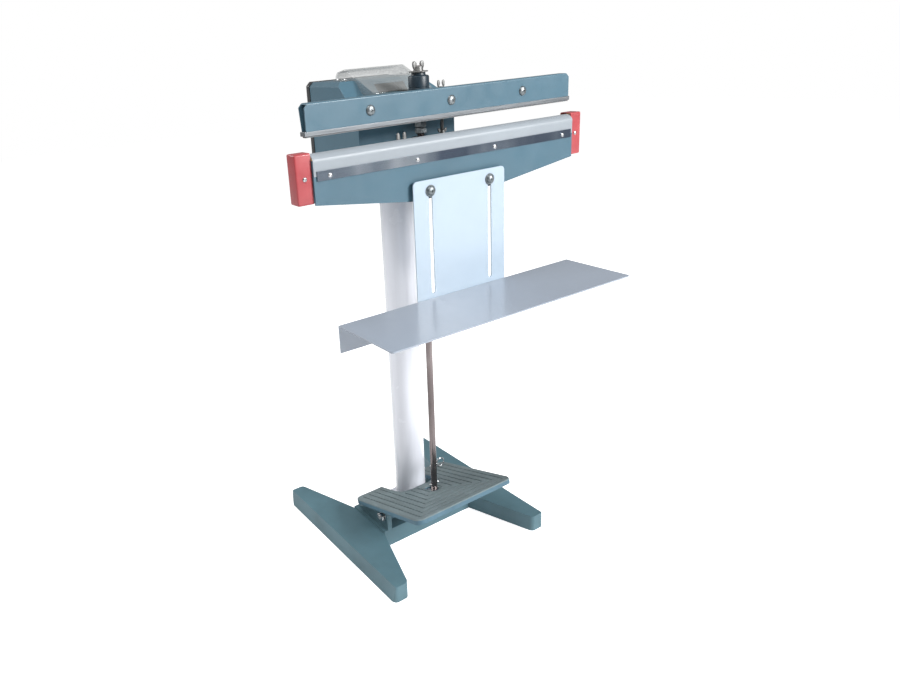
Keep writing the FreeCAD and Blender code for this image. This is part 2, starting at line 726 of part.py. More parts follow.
def pull_rod():
    bar = rod("rod_bar", "Z", "rod_radius", ("0", "rod_y", "rod_bottom_z"), "rod_top_z-rod_bottom_z")
    ring_hole = rod("rod_ring_hole", "X", "ring_wire_radius+fit", ("-10", "rod_y", "ring_pin_z"), "20")
    cotter_hole = rod("rod_cotter_hole", "X", "cotter_radius+fit", ("-10", "rod_y", "cotter_z"), "20")
    return node(cut("pull_rod", bar, ring_hole, cotter_hole), "pull_rod")


def rod_bore(name, low, length, extra="0.02"):
    return rod(name, "Z", "rod_radius+" + extra, ("0", "rod_y", low), length)


def rod_foot_nuts():
    """Ball-faced nut that the tread pulls down on, with a lock nut below it."""
    sphere = ball("ball_nut_sphere", "ball_nut_radius", ("0", "rod_y", "ball_nut_z"))
    band = rod("ball_nut_band", "Z", "ball_nut_half_width", ("0", "rod_y", "ball_nut_z-5"), "5+ball_nut_radius-2.4")
    seat = cut("ball_nut", common("ball_nut_solid", sphere, band), rod_bore("ball_nut_bore", "ball_nut_z-10", "40"))
    lock = hexagon("lock_nut_hex", "Z", "rod_nut_radius", ("0", "rod_y", "ball_nut_z-5-rod_nut_height"),
                   "rod_nut_height")
    lock = cut("lock_nut", lock, rod_bore("lock_nut_bore", "ball_nut_z-20", "30"))
    return node(group("rod_foot_nuts", seat, lock), "rod_foot_nuts")


def rod_stop_nuts():
    """The return spring's washer and the two hex nuts above it on the rod."""
    nuts = []
    for index, low in enumerate(("spring_top_z+1.8", "spring_top_z+1.8+rod_nut_height+6")):
        hexed = hexagon("stop_nut_hex_%d" % index, "Z", "rod_nut_radius", ("0", "rod_y", low), "rod_nut_height")
        nuts.append(cut("stop_nut_%d" % index, hexed, rod_bore("stop_nut_bore_%d" % index, low + "-1",
                                                               "rod_nut_height+2")))
    disc = rod("spring_washer_disc", "Z", "spring_washer_radius", ("0", "rod_y", "spring_top_z"), "1.6")
    washer = cut("spring_washer", disc, rod_bore("spring_washer_bore", "spring_top_z-1", "4"))
    return node(group("rod_stop_nuts", washer, *nuts), "rod_stop_nuts")


def coil(label, radius, wire, turns, low, high, x="0", y="0"):
    """A helical wire between two levels, swept round its axis."""
    path = doc.addObject("Part::Helix", label + "_path")
    rise = "(%s)-(%s)-2*(%s)" % (high, low, wire)
    bind(path, "Radius", radius)
    bind(path, "Pitch", "(%s)/(%s)" % (rise, turns))
    bind(path, "Height", rise)
    section = doc.addObject("Part::Circle", label + "_section")
    bind(section, "Radius", wire)
    section.Placement = FreeCAD.Placement(FreeCAD.Vector(), FreeCAD.Rotation(FreeCAD.Vector(1, 0, 0), 90))
    bind(section, "Placement.Base.x", radius)
    sweep = doc.addObject("Part::Sweep", label)
    sweep.Sections = [section]
    sweep.Spine = (path, [])
    sweep.Solid = True
    sweep.Frenet = True
    move(sweep, x, y, "(%s)+(%s)" % (low, wire))
    return sweep


def return_spring():
    return node(coil("return_spring", "spring_mean_radius", "spring_wire_radius", "spring_turns",
                     "guide_z+guide_thickness+0.1", "spring_top_z-0.1", "0", "rod_y"), "return_spring")


def rod_pins():
    """Wire pin through the rod with a pull ring at its right end, and a cotter lower down."""
    pin = rod("ring_pin_wire", "X", "ring_wire_radius", ("-9", "rod_y", "ring_pin_z"), "9+rod_radius+3")
    ring = aim(doc.addObject("Part::Torus", "ring_loop"), "Y")
    bind(ring, "Radius1", "ring_radius")
    bind(ring, "Radius2", "ring_wire_radius")
    move(ring, "rod_radius+2+ring_radius", "rod_y", "ring_pin_z")
    cotter = rod("cotter_wire", "X", "cotter_radius", ("-9", "rod_y", "cotter_z"), "9+rod_radius+6")
    eye = ball("cotter_eye", "cotter_radius*2", ("-9", "rod_y", "cotter_z"))
    tail = rod("cotter_tail", "Z", "cotter_radius", ("rod_radius+6", "rod_y", "cotter_z"), "6")
    return node(group("rod_pins", join("ring_pin", pin, ring), join("cotter", cotter, eye, tail)), "rod_pins")


def pressure_sleeve():
    """Black sleeve round the rod's top, with a shoulder, a neck and a ball foot in the arm's seat."""
    barrel = rod("sleeve_barrel", "Z", "sleeve_radius", ("0", "rod_y", "sleeve_bottom_z"),
                 "sleeve_shoulder_z-sleeve_bottom_z-2")
    shoulder = cone("sleeve_shoulder", "Z", "sleeve_radius", "sleeve_radius-3",
                    ("0", "rod_y", "sleeve_shoulder_z-2"), "2")
    neck = rod("sleeve_neck", "Z", "sleeve_neck_radius", ("0", "rod_y", "sleeve_shoulder_z-1"),
               "sleeve_top_z-sleeve_shoulder_z+1")
    foot_ball = ball("sleeve_ball", "sleeve_ball_radius", ("0", "rod_y", "swivel_z"))
    below = rod("sleeve_ball_limit", "Z", "sleeve_radius", ("0", "rod_y", "swivel_z-sleeve_ball_radius-1"),
                "sleeve_ball_radius+1")
    foot_part = common("sleeve_foot", foot_ball, below)
    solid = join("sleeve_solid", barrel, shoulder, neck, foot_part)
    return node(cut("pressure_sleeve", solid, rod_bore("sleeve_bore", "swivel_z-20", "60", "fit")),
                "pressure_sleeve")


def top_washer():
    disc = rod("top_washer_disc", "Z", "top_washer_radius", ("0", "rod_y", "sleeve_top_z"), "top_washer_thickness")
    return node(cut("top_washer", disc, rod_bore("top_washer_bore", "sleeve_top_z-1", "5", "fit")), "top_washer")


def wing_nut():
    low = "sleeve_top_z+top_washer_thickness+0.1"
    hub = cone("wing_hub", "Z", "wing_hub_radius+1.4", "wing_hub_radius+0.8", ("0", "rod_y", low), "wing_hub_height")
    wings = []
    for name, side in (("left", -1), ("right", 1)):
        wings.append(profile("wing_" + name, "XZ_Plane", [
            ("%d*(wing_hub_radius-0.5)" % side, low + "+1.5"),
            ("%d*(wing_span-1.5)" % side, low + "+4"),
            ("%d*wing_span" % side, low + "+wing_rise-2"),
            ("%d*(wing_span-2)" % side, low + "+wing_rise"),
            ("%d*(wing_span-4)" % side, low + "+wing_rise-1.5"),
            ("%d*(wing_hub_radius-0.5)" % side, low + "+wing_hub_height"),
        ], "rod_y-wing_thickness/2", "rod_y+wing_thickness/2"))
    solid = join("wing_nut_solid", hub, *wings)
    return node(cut("wing_nut", solid, rod_bore("wing_nut_bore", "sleeve_top_z-2", "40", "0.05")), "wing_nut")


def column_head():
    """Collar and plate on the column's top that carry the head."""
    plate = block("head_plate", ("-62", "62"), ("housing_front_y+2", "62"), ("column_top_z", "housing_floor_z"))
    collar = rod("head_collar", "Z", "column_radius+socket_wall", ("0", "0", "column_top_z-head_collar_height"), "head_collar_height+2")
    bore = rod("head_bore", "Z", "column_radius+fit", ("0", "0", "column_top_z-50"), "50")
    return node(cut("column_head", join("column_head_solid", plate, collar), bore), "column_head")


def housing_shape(name, inset, back):
    """The housing's outer form moved inwards: a box with a sloping brow and a bevelled right edge."""
    side = "housing_half_width-(%s)" % inset
    top = "housing_top_z-(%s)" % inset
    floor = "housing_floor_z+(%s)" % inset
    front = "housing_front_y+(%s)" % inset
    front_view = profile(name + "_front_view", "XZ_Plane", [
        ("-(%s)" % side, floor), (side, floor), (side, "%s-housing_bevel+0.586*(%s)" % (top, inset)),
        ("%s-housing_bevel+0.586*(%s)" % (side, inset), top),
        ("-(%s)+housing_fold-0.586*(%s)" % (side, inset), top), ("-(%s)" % side, "%s-housing_fold+0.586*(%s)" % (top, inset)),
    ], front, back)
    side_view = profile(name + "_side_view", "YZ_Plane", [
        (front, floor), (back, floor), (back, top), ("housing_brow_y+0.4*(%s)" % inset, top),
        (front, "housing_chin_z-0.4*(%s)" % inset),
    ], "-(%s)-1" % side, side + "+1")
    return common(name, front_view, side_view)


def head_housing():
    """Folded sheet housing, open at the back, with the arm's opening through brow and front."""
    outside = housing_shape("housing_outside", "0", "housing_back_y")
    inside = housing_shape("housing_inside", "sheet", "housing_back_y+1")
    opening = block("arm_opening", ("-arm_opening_half", "arm_opening_half"), ("housing_front_y-1", "housing_brow_y-6"),
                    ("housing_chin_z", "housing_top_z-4"))
    oblong = join("top_oblong", rod("oblong_left", "Z", "7", ("-27", "44", "housing_top_z-4"), "6"),
                  rod("oblong_right", "Z", "7", ("3", "44", "housing_top_z-4"), "6"),
                  block("oblong_middle", ("-27", "3"), ("37", "51"), ("housing_top_z-4", "housing_top_z+2")))
    knob_hole = rod("housing_knob_hole", "X", "4", ("housing_half_width-4", "52", "controls_z"), "8")
    switch_hole = block("housing_switch_hole", ("housing_half_width-4", "housing_half_width+4"), ("6", "19.6"),
                        ("controls_z-10", "controls_z+10"))
    return node(cut("head_housing", outside, inside, opening, oblong, knob_hole, switch_hole), "head_housing")


def rear_cover():
    """Black pressed cover that closes the housing's back, with louvres and the inlet's hole."""
    side = "housing_half_width"
    outline_points = [("-%s-1" % side, "housing_floor_z-1"), ("%s+1" % side, "housing_floor_z-1"),
                      ("%s+1" % side, "housing_top_z-housing_bevel+1"),
                      ("%s-housing_bevel+1" % side, "housing_top_z+1"),
                      ("-%s+housing_fold-1" % side, "housing_top_z+1"),
                      ("-%s-1" % side, "housing_top_z-housing_fold+1")]
    cover = profile("rear_cover_body", "XZ_Plane", outline_points, "housing_back_y", "housing_back_y+rear_cover_depth")
    cover = round_corners(cover, "3", lambda edge, middle: runs_along(edge, (0, 1, 0)))
    louvres = [block("louvre_%d" % index, ("-70", "-10"), ("housing_back_y-1", "housing_back_y+rear_cover_depth+1"),
                     ("controls_z-10+%d*8" % index, "controls_z-7+%d*8" % index)) for index in range(5)]
    hole = rod("inlet_hole", "Y", "8", ("inlet_x", "housing_back_y-1", "inlet_z"), "rear_cover_depth+2")
    return node(cut("rear_cover", cover, hole, *louvres), "rear_cover")


def cord_gland():
    """Gland for the mains lead: a flanged bush through the rear cover."""
    face = "housing_back_y+rear_cover_depth"
    flange = rod("gland_flange", "Y", "12", ("inlet_x", face, "inlet_z"), "5")
    barrel = cone("gland_barrel", "Y", "9", "6.5", ("inlet_x", face + "+4", "inlet_z"), "13")
    neck = rod("gland_neck", "Y", "7.9", ("inlet_x", face + "-rear_cover_depth-2", "inlet_z"), "rear_cover_depth+3")
    hole = rod("gland_hole", "Y", "3.6", ("inlet_x", face + "-rear_cover_depth-4", "inlet_z"), "rear_cover_depth+23")
    return node(cut("cord_gland", join("gland_solid", flange, barrel, neck), hole), "cord_gland")


def hinge_bracket():
    """Bracket inside the housing whose two cheeks carry the hinge shaft."""
    floor = "housing_floor_z+sheet"
    outer = "cheek_inner_x+cheek_thickness"
    base = block("hinge_base", ("-(%s)-12" % outer, outer + "+12"), ("hinge_y-22", "hinge_y+22"), (floor, floor + "+5"))
    solids = [base]
    for name, side in (("left", -1), ("right", 1)):
        low, high = ("cheek_inner_x", outer) if side > 0 else ("-(%s)" % outer, "-cheek_inner_x")
        solids.append(profile("cheek_" + name, "YZ_Plane", [
            ("hinge_y-20", floor + "+1"), ("hinge_y+20", floor + "+1"),
            ("hinge_y+14", "hinge_z+8"), ("hinge_y+7", "hinge_z+15"), ("hinge_y-7", "hinge_z+15"),
            ("hinge_y-14", "hinge_z+8"),
        ], low, high))
    bore = rod("hinge_bracket_bore", "X", "shaft_radius+fit", ("-60", "hinge_y", "hinge_z"), "120")
    return node(cut("hinge_bracket", join("hinge_bracket_solid", *solids), bore), "hinge_bracket")


def hinge_shaft():
    reach = "cheek_inner_x+cheek_thickness+6"
    return node(rod("hinge_shaft", "X", "shaft_radius", ("-(%s)" % reach, "hinge_y", "hinge_z"), "2*(%s)" % reach),
                "hinge_shaft")


def shaft_collars():
    """Retaining collars outside the hinge cheeks."""
    collars = []
    for name, side in (("left", -1), ("right", 1)):
        face = "cheek_inner_x+cheek_thickness"
        start = face if side > 0 else "-(%s)-5" % face
        ring = rod("collar_ring_" + name, "X", "shaft_radius+4", (start, "hinge_y", "hinge_z"), "5")
        hole = rod("collar_hole_" + name, "X", "shaft_radius+0.02", (start + "-1", "hinge_y", "hinge_z"), "7")
        collars.append(cut("collar_" + name, ring, hole))
    return node(group("shaft_collars", *collars), "shaft_collars")


def swing_arm():
    """Cast arm from the hinge to the upper jaw, ribbed below, with the rod's seat and a switch lug."""
    low = "arm_top_z-arm_depth"
    side = [("upper_front_y+upper_sheet+jaw_bar_thickness", low), ("housing_front_y-4", low), ("hinge_y-26", "hinge_z-11"),
            ("hinge_y", "hinge_z-arm_hub_radius+1.5"), ("hinge_y", "hinge_z+arm_hub_radius-1.5"),
            ("hinge_y-32", "arm_top_z-2"), ("hinge_y-50", "arm_top_z"), ("upper_front_y+upper_sheet+jaw_bar_thickness", "arm_top_z")]
    beam = profile("arm_beam", "YZ_Plane", side, "-arm_half_width", "arm_half_width")
    hub = rod("arm_hub", "X", "arm_hub_radius", ("-cheek_inner_x+2", "hinge_y", "hinge_z"), "2*cheek_inner_x-4")
    relief = block("arm_relief", ("-arm_half_width+arm_wall", "arm_half_width-arm_wall"),
                   ("rod_y+18", "hinge_y-arm_hub_radius-6"), (low + "-20", "arm_top_z-arm_wall"))
    lug = profile("arm_lug", "XY_Plane", [
        ("arm_half_width-1", "rod_y-14"), ("adjuster_x", "rod_y-9"), ("adjuster_x+9", "rod_y-4"),
        ("adjuster_x+9", "rod_y+4"), ("adjuster_x", "rod_y+9"), ("arm_half_width-1", "rod_y+20"),
    ], low + "+3", "arm_top_z-2")
    lug_hole = rod("arm_lug_hole", "Z", "adjuster_radius+0.02", ("adjuster_x", "rod_y", low), "arm_depth+2")
    seat = rod("arm_seat", "Z", "arm_seat_radius", ("0", "rod_y", low + "-1"), "arm_depth+2")
    bore = rod("arm_bore", "X", "shaft_radius+bush_wall", ("-60", "hinge_y", "hinge_z"), "120")
    bolt_hole = rod("arm_bolt_hole", "Y", "jaw_bolt_radius+fit", ("0", "upper_front_y", "jaw_bolt_z"),
                    "upper_sheet+jaw_bar_thickness+arm_bolt_reach+1")
    body = cut("arm_casting", join("arm_solid", beam, hub, lug), relief, lug_hole, seat, bore, bolt_hole)
    return node(body, "swing_arm")


def arm_bushes():
    bushes = []
    for name, side in (("left", -1), ("right", 1)):
        start = "cheek_inner_x-2-18" if side > 0 else "-cheek_inner_x+2"
        shell = rod("arm_bush_shell_" + name, "X", "shaft_radius+bush_wall-0.02", (start, "hinge_y", "hinge_z"), "18")
        hole = rod("arm_bush_hole_" + name, "X", "shaft_radius+running_fit", (start + "-1", "hinge_y", "hinge_z"), "20")
        bushes.append(cut("arm_bush_" + name, shell, hole))
    return node(group("arm_bushes", *bushes), "arm_bushes")


def hood_outline(inset, open_by):
    """Side view of the clear hood moved inwards, its open edges moved outwards."""
    fall = "(hood_crest_z-hood_front_z)/(hood_crest_y-hood_front_y)"
    chin = "housing_top_z-(housing_brow_y-(hood_front_y))*(housing_top_z-housing_chin_z)/(housing_brow_y-housing_front_y)"
    front = "hood_front_y-(%s)" % open_by
    lift = "(%s)*1.1" % inset
    return [
        ("hood_back_y-(%s)" % inset, "housing_top_z-(%s)" % open_by),
        ("hood_back_y-(%s)" % inset, "hood_crest_z-hood_round*0.55-(%s)" % inset),
        ("hood_back_y-hood_round*0.25-(%s)" % inset, "hood_crest_z-hood_round*0.2-(%s)" % inset),
        ("hood_crest_y+4", "hood_crest_z-(%s)" % inset),
        ("hood_crest_y", "hood_crest_z-(%s)" % lift),
        (front, "hood_crest_z-(hood_crest_y-(%s))*%s-(%s)" % (front, fall, lift)),
        (front, "%s-(%s)" % (chin, open_by)),
        ("housing_brow_y", "housing_top_z-(%s)" % open_by),
    ]


def clear_hood():
    """Clear plastic cover over the arm's opening, with two screwed feet."""
    left, right = "-hood_left_reach", "hood_right_x"
    outside = profile("hood_outside", "YZ_Plane", hood_outline("0", "0"), left, right)
    inside = profile("hood_inside", "YZ_Plane", hood_outline("hood_wall", "4"), left + "+hood_wall",
                     right + "-hood_wall")
    feet = [block("hood_foot_" + name, limits, ("24", "62"), ("housing_top_z", "housing_top_z+hood_wall"))
            for name, limits in (("left", (left + "-hood_foot", left + "+1")),
                                 ("right", (right + "-1", right + "+hood_foot")))]
    solid = join("hood_solid", outside, *feet)
    holes = [rod("hood_hole_%d" % index, "Z", "1.6", (x, y, "housing_top_z-1"), "5")
             for index, (x, y) in enumerate(HOOD_SCREWS)]
    return node(cut("clear_hood", solid, inside, *holes), "clear_hood")


# Plan position of each hood screw, in the middle of its foot
HOOD_SCREWS = [(x, y) for x in ("-hood_left_reach-hood_foot/2", "hood_right_x+hood_foot/2") for y in ("32", "54")]


def hood_screws():
    screws = []
    for index, (x, y) in enumerate(HOOD_SCREWS):
        top = "housing_top_z+hood_wall"
        head = cone("hood_screw_head_%d" % index, "Z", "2.9", "1.8", (x, y, top), "1.8")
        stem = rod("hood_screw_stem_%d" % index, "Z", "1.5", (x, y, "housing_top_z"), "hood_wall+0.5")
        screws.append(join("hood_screw_%d" % index, head, stem))
    return node(group("hood_screws", *screws), "hood_screws")


def upper_section(inset):
    """End view of the upper jaw's folded channel, moved inwards by an inset."""
    front = "upper_front_y+(%s)" % inset
    return [(front, "upper_web_low_z-(%s)" % inset), (front, "upper_top_z-(%s)" % inset),
            ("upper_front_y+upper_flange_depth-(%s)" % inset, "upper_top_z-(%s)" % inset),
            ("upper_front_y+upper_foot_depth-(%s)" % inset, "upper_web_low_z-(%s)" % inset)]


def upper_jaw():
    """Folded channel with a leaning back wall, cut away behind for the arm."""
    half = "upper_half_length"
    outside = profile("upper_outside", "YZ_Plane", upper_section("0"), "-" + half, half)
    outside = round_corners(outside, "2", lambda edge, middle: runs_along(edge, (1, 0, 0))
                            and middle.z > number("upper_top_z") - 1)
    inside = profile("upper_inside", "YZ_Plane", upper_section("upper_sheet"), "-%s-1" % half, half + "+1")
    face = profile("upper_face", "XZ_Plane", [
        ("-%s" % half, "upper_web_low_z-1"), (half, "upper_web_low_z-1"),
        (half, "upper_top_z-upper_end_chamfer"), (half + "-upper_end_chamfer", "upper_top_z"),
        ("-%s+upper_end_chamfer" % half, "upper_top_z"), ("-%s" % half, "upper_top_z-upper_end_chamfer"),
    ], "upper_front_y-1", "upper_front_y+upper_flange_depth+1")
    outside = common("upper_trimmed", outside, face)
    window = block("upper_window", ("-arm_half_width-2", "arm_half_width+2"),
                   ("upper_front_y+upper_sheet+4", "upper_front_y+upper_flange_depth+2"),
                   ("upper_web_low_z+4", "upper_top_z-upper_sheet-1"))
    holes = [rod("upper_bolt_hole_%d" % index, "Y", "jaw_bolt_radius+fit",
                 ("%d*jaw_bolt_spacing" % place, "upper_front_y-1", "jaw_bolt_z"), "upper_sheet+2")
             for index, place in enumerate((-1, 0, 1))]
    return node(cut("upper_jaw", outside, inside, window, *holes), "upper_jaw")


def jaw_back_bar():
    """Steel bar inside the channel that spreads the arm's push, bolted through the web."""
    half = "jaw_bar_half_length"
    front = "upper_front_y+upper_sheet"
    bar = block("jaw_bar_block", ("-" + half, half), (front, front + "+jaw_bar_thickness"),
                ("jaw_bolt_z-9", "jaw_bolt_z+9"))
    holes = [rod("jaw_bar_hole_%d" % index, "Y", "jaw_bolt_radius+fit",
                 ("%d*jaw_bolt_spacing" % place, "upper_front_y", "jaw_bolt_z"), "20")
             for index, place in enumerate((-1, 0, 1))]
    return node(cut("jaw_back_bar", bar, *holes), "jaw_back_bar")


def jaw_bolts():
    bolts = []
    for index, place in enumerate((-1, 0, 1)):
        reach = "upper_sheet+jaw_bar_thickness"
        reach = reach if place else reach + "+arm_bolt_reach"
        bolts.append(dome_screw("jaw_bolt_%d" % index, "7.5", "3.6", "jaw_bolt_radius",
                                ("%d*jaw_bolt_spacing" % place, "upper_front_y", "jaw_bolt_z"), reach))
    return node(group("jaw_bolts", *bolts), "jaw_bolts")


def pad_holder():
    """Aluminium strip along the channel's mouth, grooved below for the pressing pad."""
    half = "holder_half_length"
    top = "upper_web_low_z"
    strip = block("holder_block", ("-" + half, half), ("upper_front_y", "upper_front_y+upper_foot_depth"),
                  (top + "-holder_height-pad_height/2", top))
    centre = "upper_front_y+upper_foot_depth/2"
    groove = block("holder_groove", ("-%s-1" % half, half + "+1"),
                   (centre + "-pad_width/2+1.5", centre + "+pad_width/2-1.5"),
                   (top + "-holder_height-pad_height", top + "-holder_height"))
    return node(cut("pad_holder", strip, groove), "pad_holder")


def pressing_pad():
    """Silicone strip: a tongue in the holder's groove and a rounded working face."""
    half = "holder_half_length-pad_end_inset"
    centre = "upper_front_y+upper_foot_depth/2"
    top = "upper_web_low_z-holder_height"
    tongue = block("pad_tongue", ("-(%s)" % half, half), (centre + "-pad_width/2+1.6", centre + "+pad_width/2-1.6"),
                   (top + "-pad_height/2-1", top))
    face = profile("pad_face", "YZ_Plane", [
        (centre + "-pad_width/2", top + "-pad_height/2"), (centre + "-pad_width/2", top + "-pad_height+0.5"),
        (centre + "-pad_width/2+1.5", top + "-pad_height-0.5"), (centre + "+pad_width/2-1.5", top + "-pad_height-0.5"),
        (centre + "+pad_width/2", top + "-pad_height+0.5"), (centre + "+pad_width/2", top + "-pad_height/2"),
    ], "-(%s)" % half, half)
    return node(join("pressing_pad", tongue, face), "pressing_pad")


def adjuster_screw():
    """Wing-headed screw through the arm's lug; its tip works the switch below."""
    x, y = "adjuster_x", "rod_y"
    stem = rod("adjuster_stem", "Z", "adjuster_radius", (x, y, "adjuster_low_z"), "adjuster_top_z-adjuster_low_z")
    hub = cone("adjuster_hub", "Z", "4.6", "3.8", (x, y, "adjuster_top_z-7"), "7")
    wings = [profile("adjuster_wing_%d" % index, "XZ_Plane", [
        ("adjuster_x+%d*3" % side, "adjuster_top_z-6"), ("adjuster_x+%d*7" % side, "adjuster_top_z"),
        ("adjuster_x+%d*8" % side, "adjuster_top_z+6"), ("adjuster_x+%d*5" % side, "adjuster_top_z+8"),
        ("adjuster_x+%d*3" % side, "adjuster_top_z"),
    ], "rod_y-1.2", "rod_y+1.2") for index, side in enumerate((-1, 1))]
    return node(join("adjuster_screw", stem, hub, *wings), "adjuster_screw")


def adjuster_lock():
    """Small wing nut that locks the adjuster's lower end."""
    x, y, low = "adjuster_x", "rod_y", "adjuster_low_z+3"
    hub = cone("lock_hub", "Z", "5", "4.2", (x, y, low), "5")
    wings = [profile("lock_wing_%d" % index, "XZ_Plane", [
        ("adjuster_x+%d*3.5" % side, low + "+0.5"), ("adjuster_x+%d*8" % side, low + "+2"),
        ("adjuster_x+%d*9" % side, low + "+7"), ("adjuster_x+%d*7" % side, low + "+8"),
        ("adjuster_x+%d*3.5" % side, low + "+4.5"),
    ], "rod_y-1.2", "rod_y+1.2") for index, side in enumerate((-1, 1))]
    hole = rod("lock_hole", "Z", "adjuster_radius+0.02", (x, y, low + "-1"), "12")
    return node(cut("adjuster_lock", join("lock_solid", hub, *wings), hole), "adjuster_lock")


def lower_outline(inset):
    """Front view of the lower jaw: straight on top, rising below towards both ends."""
    half = "jaw_half_length"
    top = "lower_top_z-(%s)" % inset
    return [("-" + half, "lower_end_z"), ("-lower_mid_x", "lower_mid_z"), ("lower_mid_x", "lower_mid_z"),
            (half, "lower_end_z"), (half, top), ("-" + half, top)]


def lower_jaw():
    """Deep folded channel, open below, with a tapering skirt and rounded upper edges."""
    back = "lower_front_y+lower_depth"
    shell = profile("lower_shell", "XZ_Plane", lower_outline("0"), "lower_front_y", back)
    shell = round_corners(shell, "1.5", lambda edge, middle: runs_along(edge, (1, 0, 0))
                          and middle.z > number("lower_top_z") - 1)
    hollow = block("lower_hollow", ("-jaw_half_length-1", "jaw_half_length+1"),
                   ("lower_front_y+lower_sheet", back + "-lower_sheet"), ("lower_mid_z-1", "lower_top_z-lower_sheet"))
    tools = [hollow]
    for index in range(4):
        x = "(%d-1.5)/1.5*(jaw_half_length-strip_screw_inset)" % index
        tools.append(rod("lower_strip_hole_%d" % index, "Y", "strip_screw_radius+fit",
                         (x, "lower_front_y-1", "strip_screw_z"), "lower_depth+2"))
    for index, side in enumerate((-1, 1)):
        tools.append(rod("lower_shelf_hole_%d" % index, "Y", "shelf_bolt_radius+fit",
                         ("%d*slot_x" % side, "lower_front_y-1", "shelf_bolt_z"), "lower_sheet+2"))
        tools.append(rod("lower_bracket_hole_%d" % index, "Y", "3+fit",
                         ("%d*(bracket_half_width+bracket_tab/2)" % side, back + "-lower_sheet-1",
                          "(bracket_low_z+bracket_top_z)/2"), "lower_sheet+2"))
    return node(cut("lower_jaw", shell, *tools), "lower_jaw")


def arch(name, radius, half_width, low, crest, half_length):
    """A long bar with a round back, from its flat underside up to its crest."""
    centre_y = "lower_front_y+lower_depth/2"
    barrel = rod(name + "_barrel", "X", radius, ("-(%s)" % half_length, centre_y, "(%s)-(%s)" % (crest, radius)),
                 "2*(%s)" % half_length)
    shoulder = "(%s)-(%s)+((%s)^2-(%s)^2)^0.5" % (crest, radius, radius, half_width)
    window = block(name + "_window", ("-(%s)" % half_length, half_length),
                   ("%s-(%s)" % (centre_y, half_width), "%s+(%s)" % (centre_y, half_width)),
                   (shoulder + "-0.01", "(%s)+1" % crest))
    body = block(name + "_body", ("-(%s)" % half_length, half_length),
                 ("%s-(%s)" % (centre_y, half_width), "%s+(%s)" % (centre_y, half_width)), (low, shoulder))
    return join(name, common(name + "_cap", barrel, window), body)


def jaw_insulator():
    """Round-backed insulating bar under the heating ribbon."""
    return node(arch("jaw_insulator", "crest_radius", "crest_half_width", "lower_top_z", "crest_z",
                     "jaw_half_length"), "jaw_insulator")


def heating_ribbon():
    """Flat resistance ribbon along the crest, clamped at both ends."""
    centre_y = "lower_front_y+lower_depth/2"
    ribbon = block("ribbon_flat", ("-jaw_half_length-10", "jaw_half_length+10"),
                   (centre_y + "-element_width/2", centre_y + "+element_width/2"),
                   ("crest_z", "crest_z+element_thickness"))
    return node(ribbon, "heating_ribbon")


def jaw_cloth():
    """Slippery fabric over the ribbon, hanging down both faces to the clamping strips."""
    crest = "crest_z+element_thickness+cloth_lift"
    outside = arch("cloth_outside", "crest_radius+cloth+0.7", "lower_depth/2+cloth", "cloth_low_z", crest + "+cloth",
                   "jaw_half_length-0.5")
    inside = arch("cloth_inside", "crest_radius+0.7", "lower_depth/2", "cloth_low_z-1", crest,
                  "jaw_half_length")
    holes = []
    for index in range(4):
        holes.append(rod("cloth_hole_%d" % index, "Y", "strip_screw_radius+fit",
                         ("(%d-1.5)/1.5*(jaw_half_length-strip_screw_inset)" % index, "lower_front_y-5", "strip_screw_z"),
                         "lower_depth+10"))
    return node(cut("jaw_cloth", outside, inside, *holes), "jaw_cloth")


def clamp_strip(label, face, back):
    """Bright strip that holds the fabric's edge against the lower jaw."""
    bar = block(label + "_bar", ("-jaw_half_length+strip_end_inset", "jaw_half_length-strip_end_inset"), (face, back),
                ("strip_low_z", "strip_top_z"))
    holes = [rod("%s_hole_%d" % (label, index), "Y", "strip_screw_radius+fit",
                 ("(%d-1.5)/1.5*(jaw_half_length-strip_screw_inset)" % index, face + "-1", "strip_screw_z"), "strip_thickness+2")
             for index in range(4)]
    return node(cut(label, bar, *holes), label)


def clamp_strips():
    front = "lower_front_y-cloth"
    back = "lower_front_y+lower_depth+cloth"
    clamp_strip("front_clamp_strip", front + "-strip_thickness", front)
    clamp_strip("rear_clamp_strip", back, back + "+strip_thickness")


def jaw_screws():
    """Dome screws of the clamping strips with their nuts behind, and of the end caps."""
    screws = []
    for index in range(4):
        x = "(%d-1.5)/1.5*(jaw_half_length-strip_screw_inset)" % index
        screw = dome_screw("strip_screw_%d" % index, "3.6", "1.8", "strip_screw_radius",
                           (x, "lower_front_y-cloth-strip_thickness", "strip_screw_z"),
                           "lower_depth+2*cloth+2*strip_thickness+4")
        nut = hexagon("strip_nut_%d" % index, "Y", "4", (x, "lower_front_y+lower_depth+cloth+strip_thickness",
                                                         "strip_screw_z"), "3")
        screws.append(join("strip_fastener_%d" % index, screw, nut))
    for index, side in enumerate((-1, 1)):
        screws.append(dome_screw("cap_screw_%d" % index, "3.4", "1.8", "2",
                                 ("%d*cap_screw_x" % side, "lower_front_y+cap_setback", "cap_screw_z"),
                                 "cap_wall+10"))
    return node(group("jaw_screws", *screws), "jaw_screws")


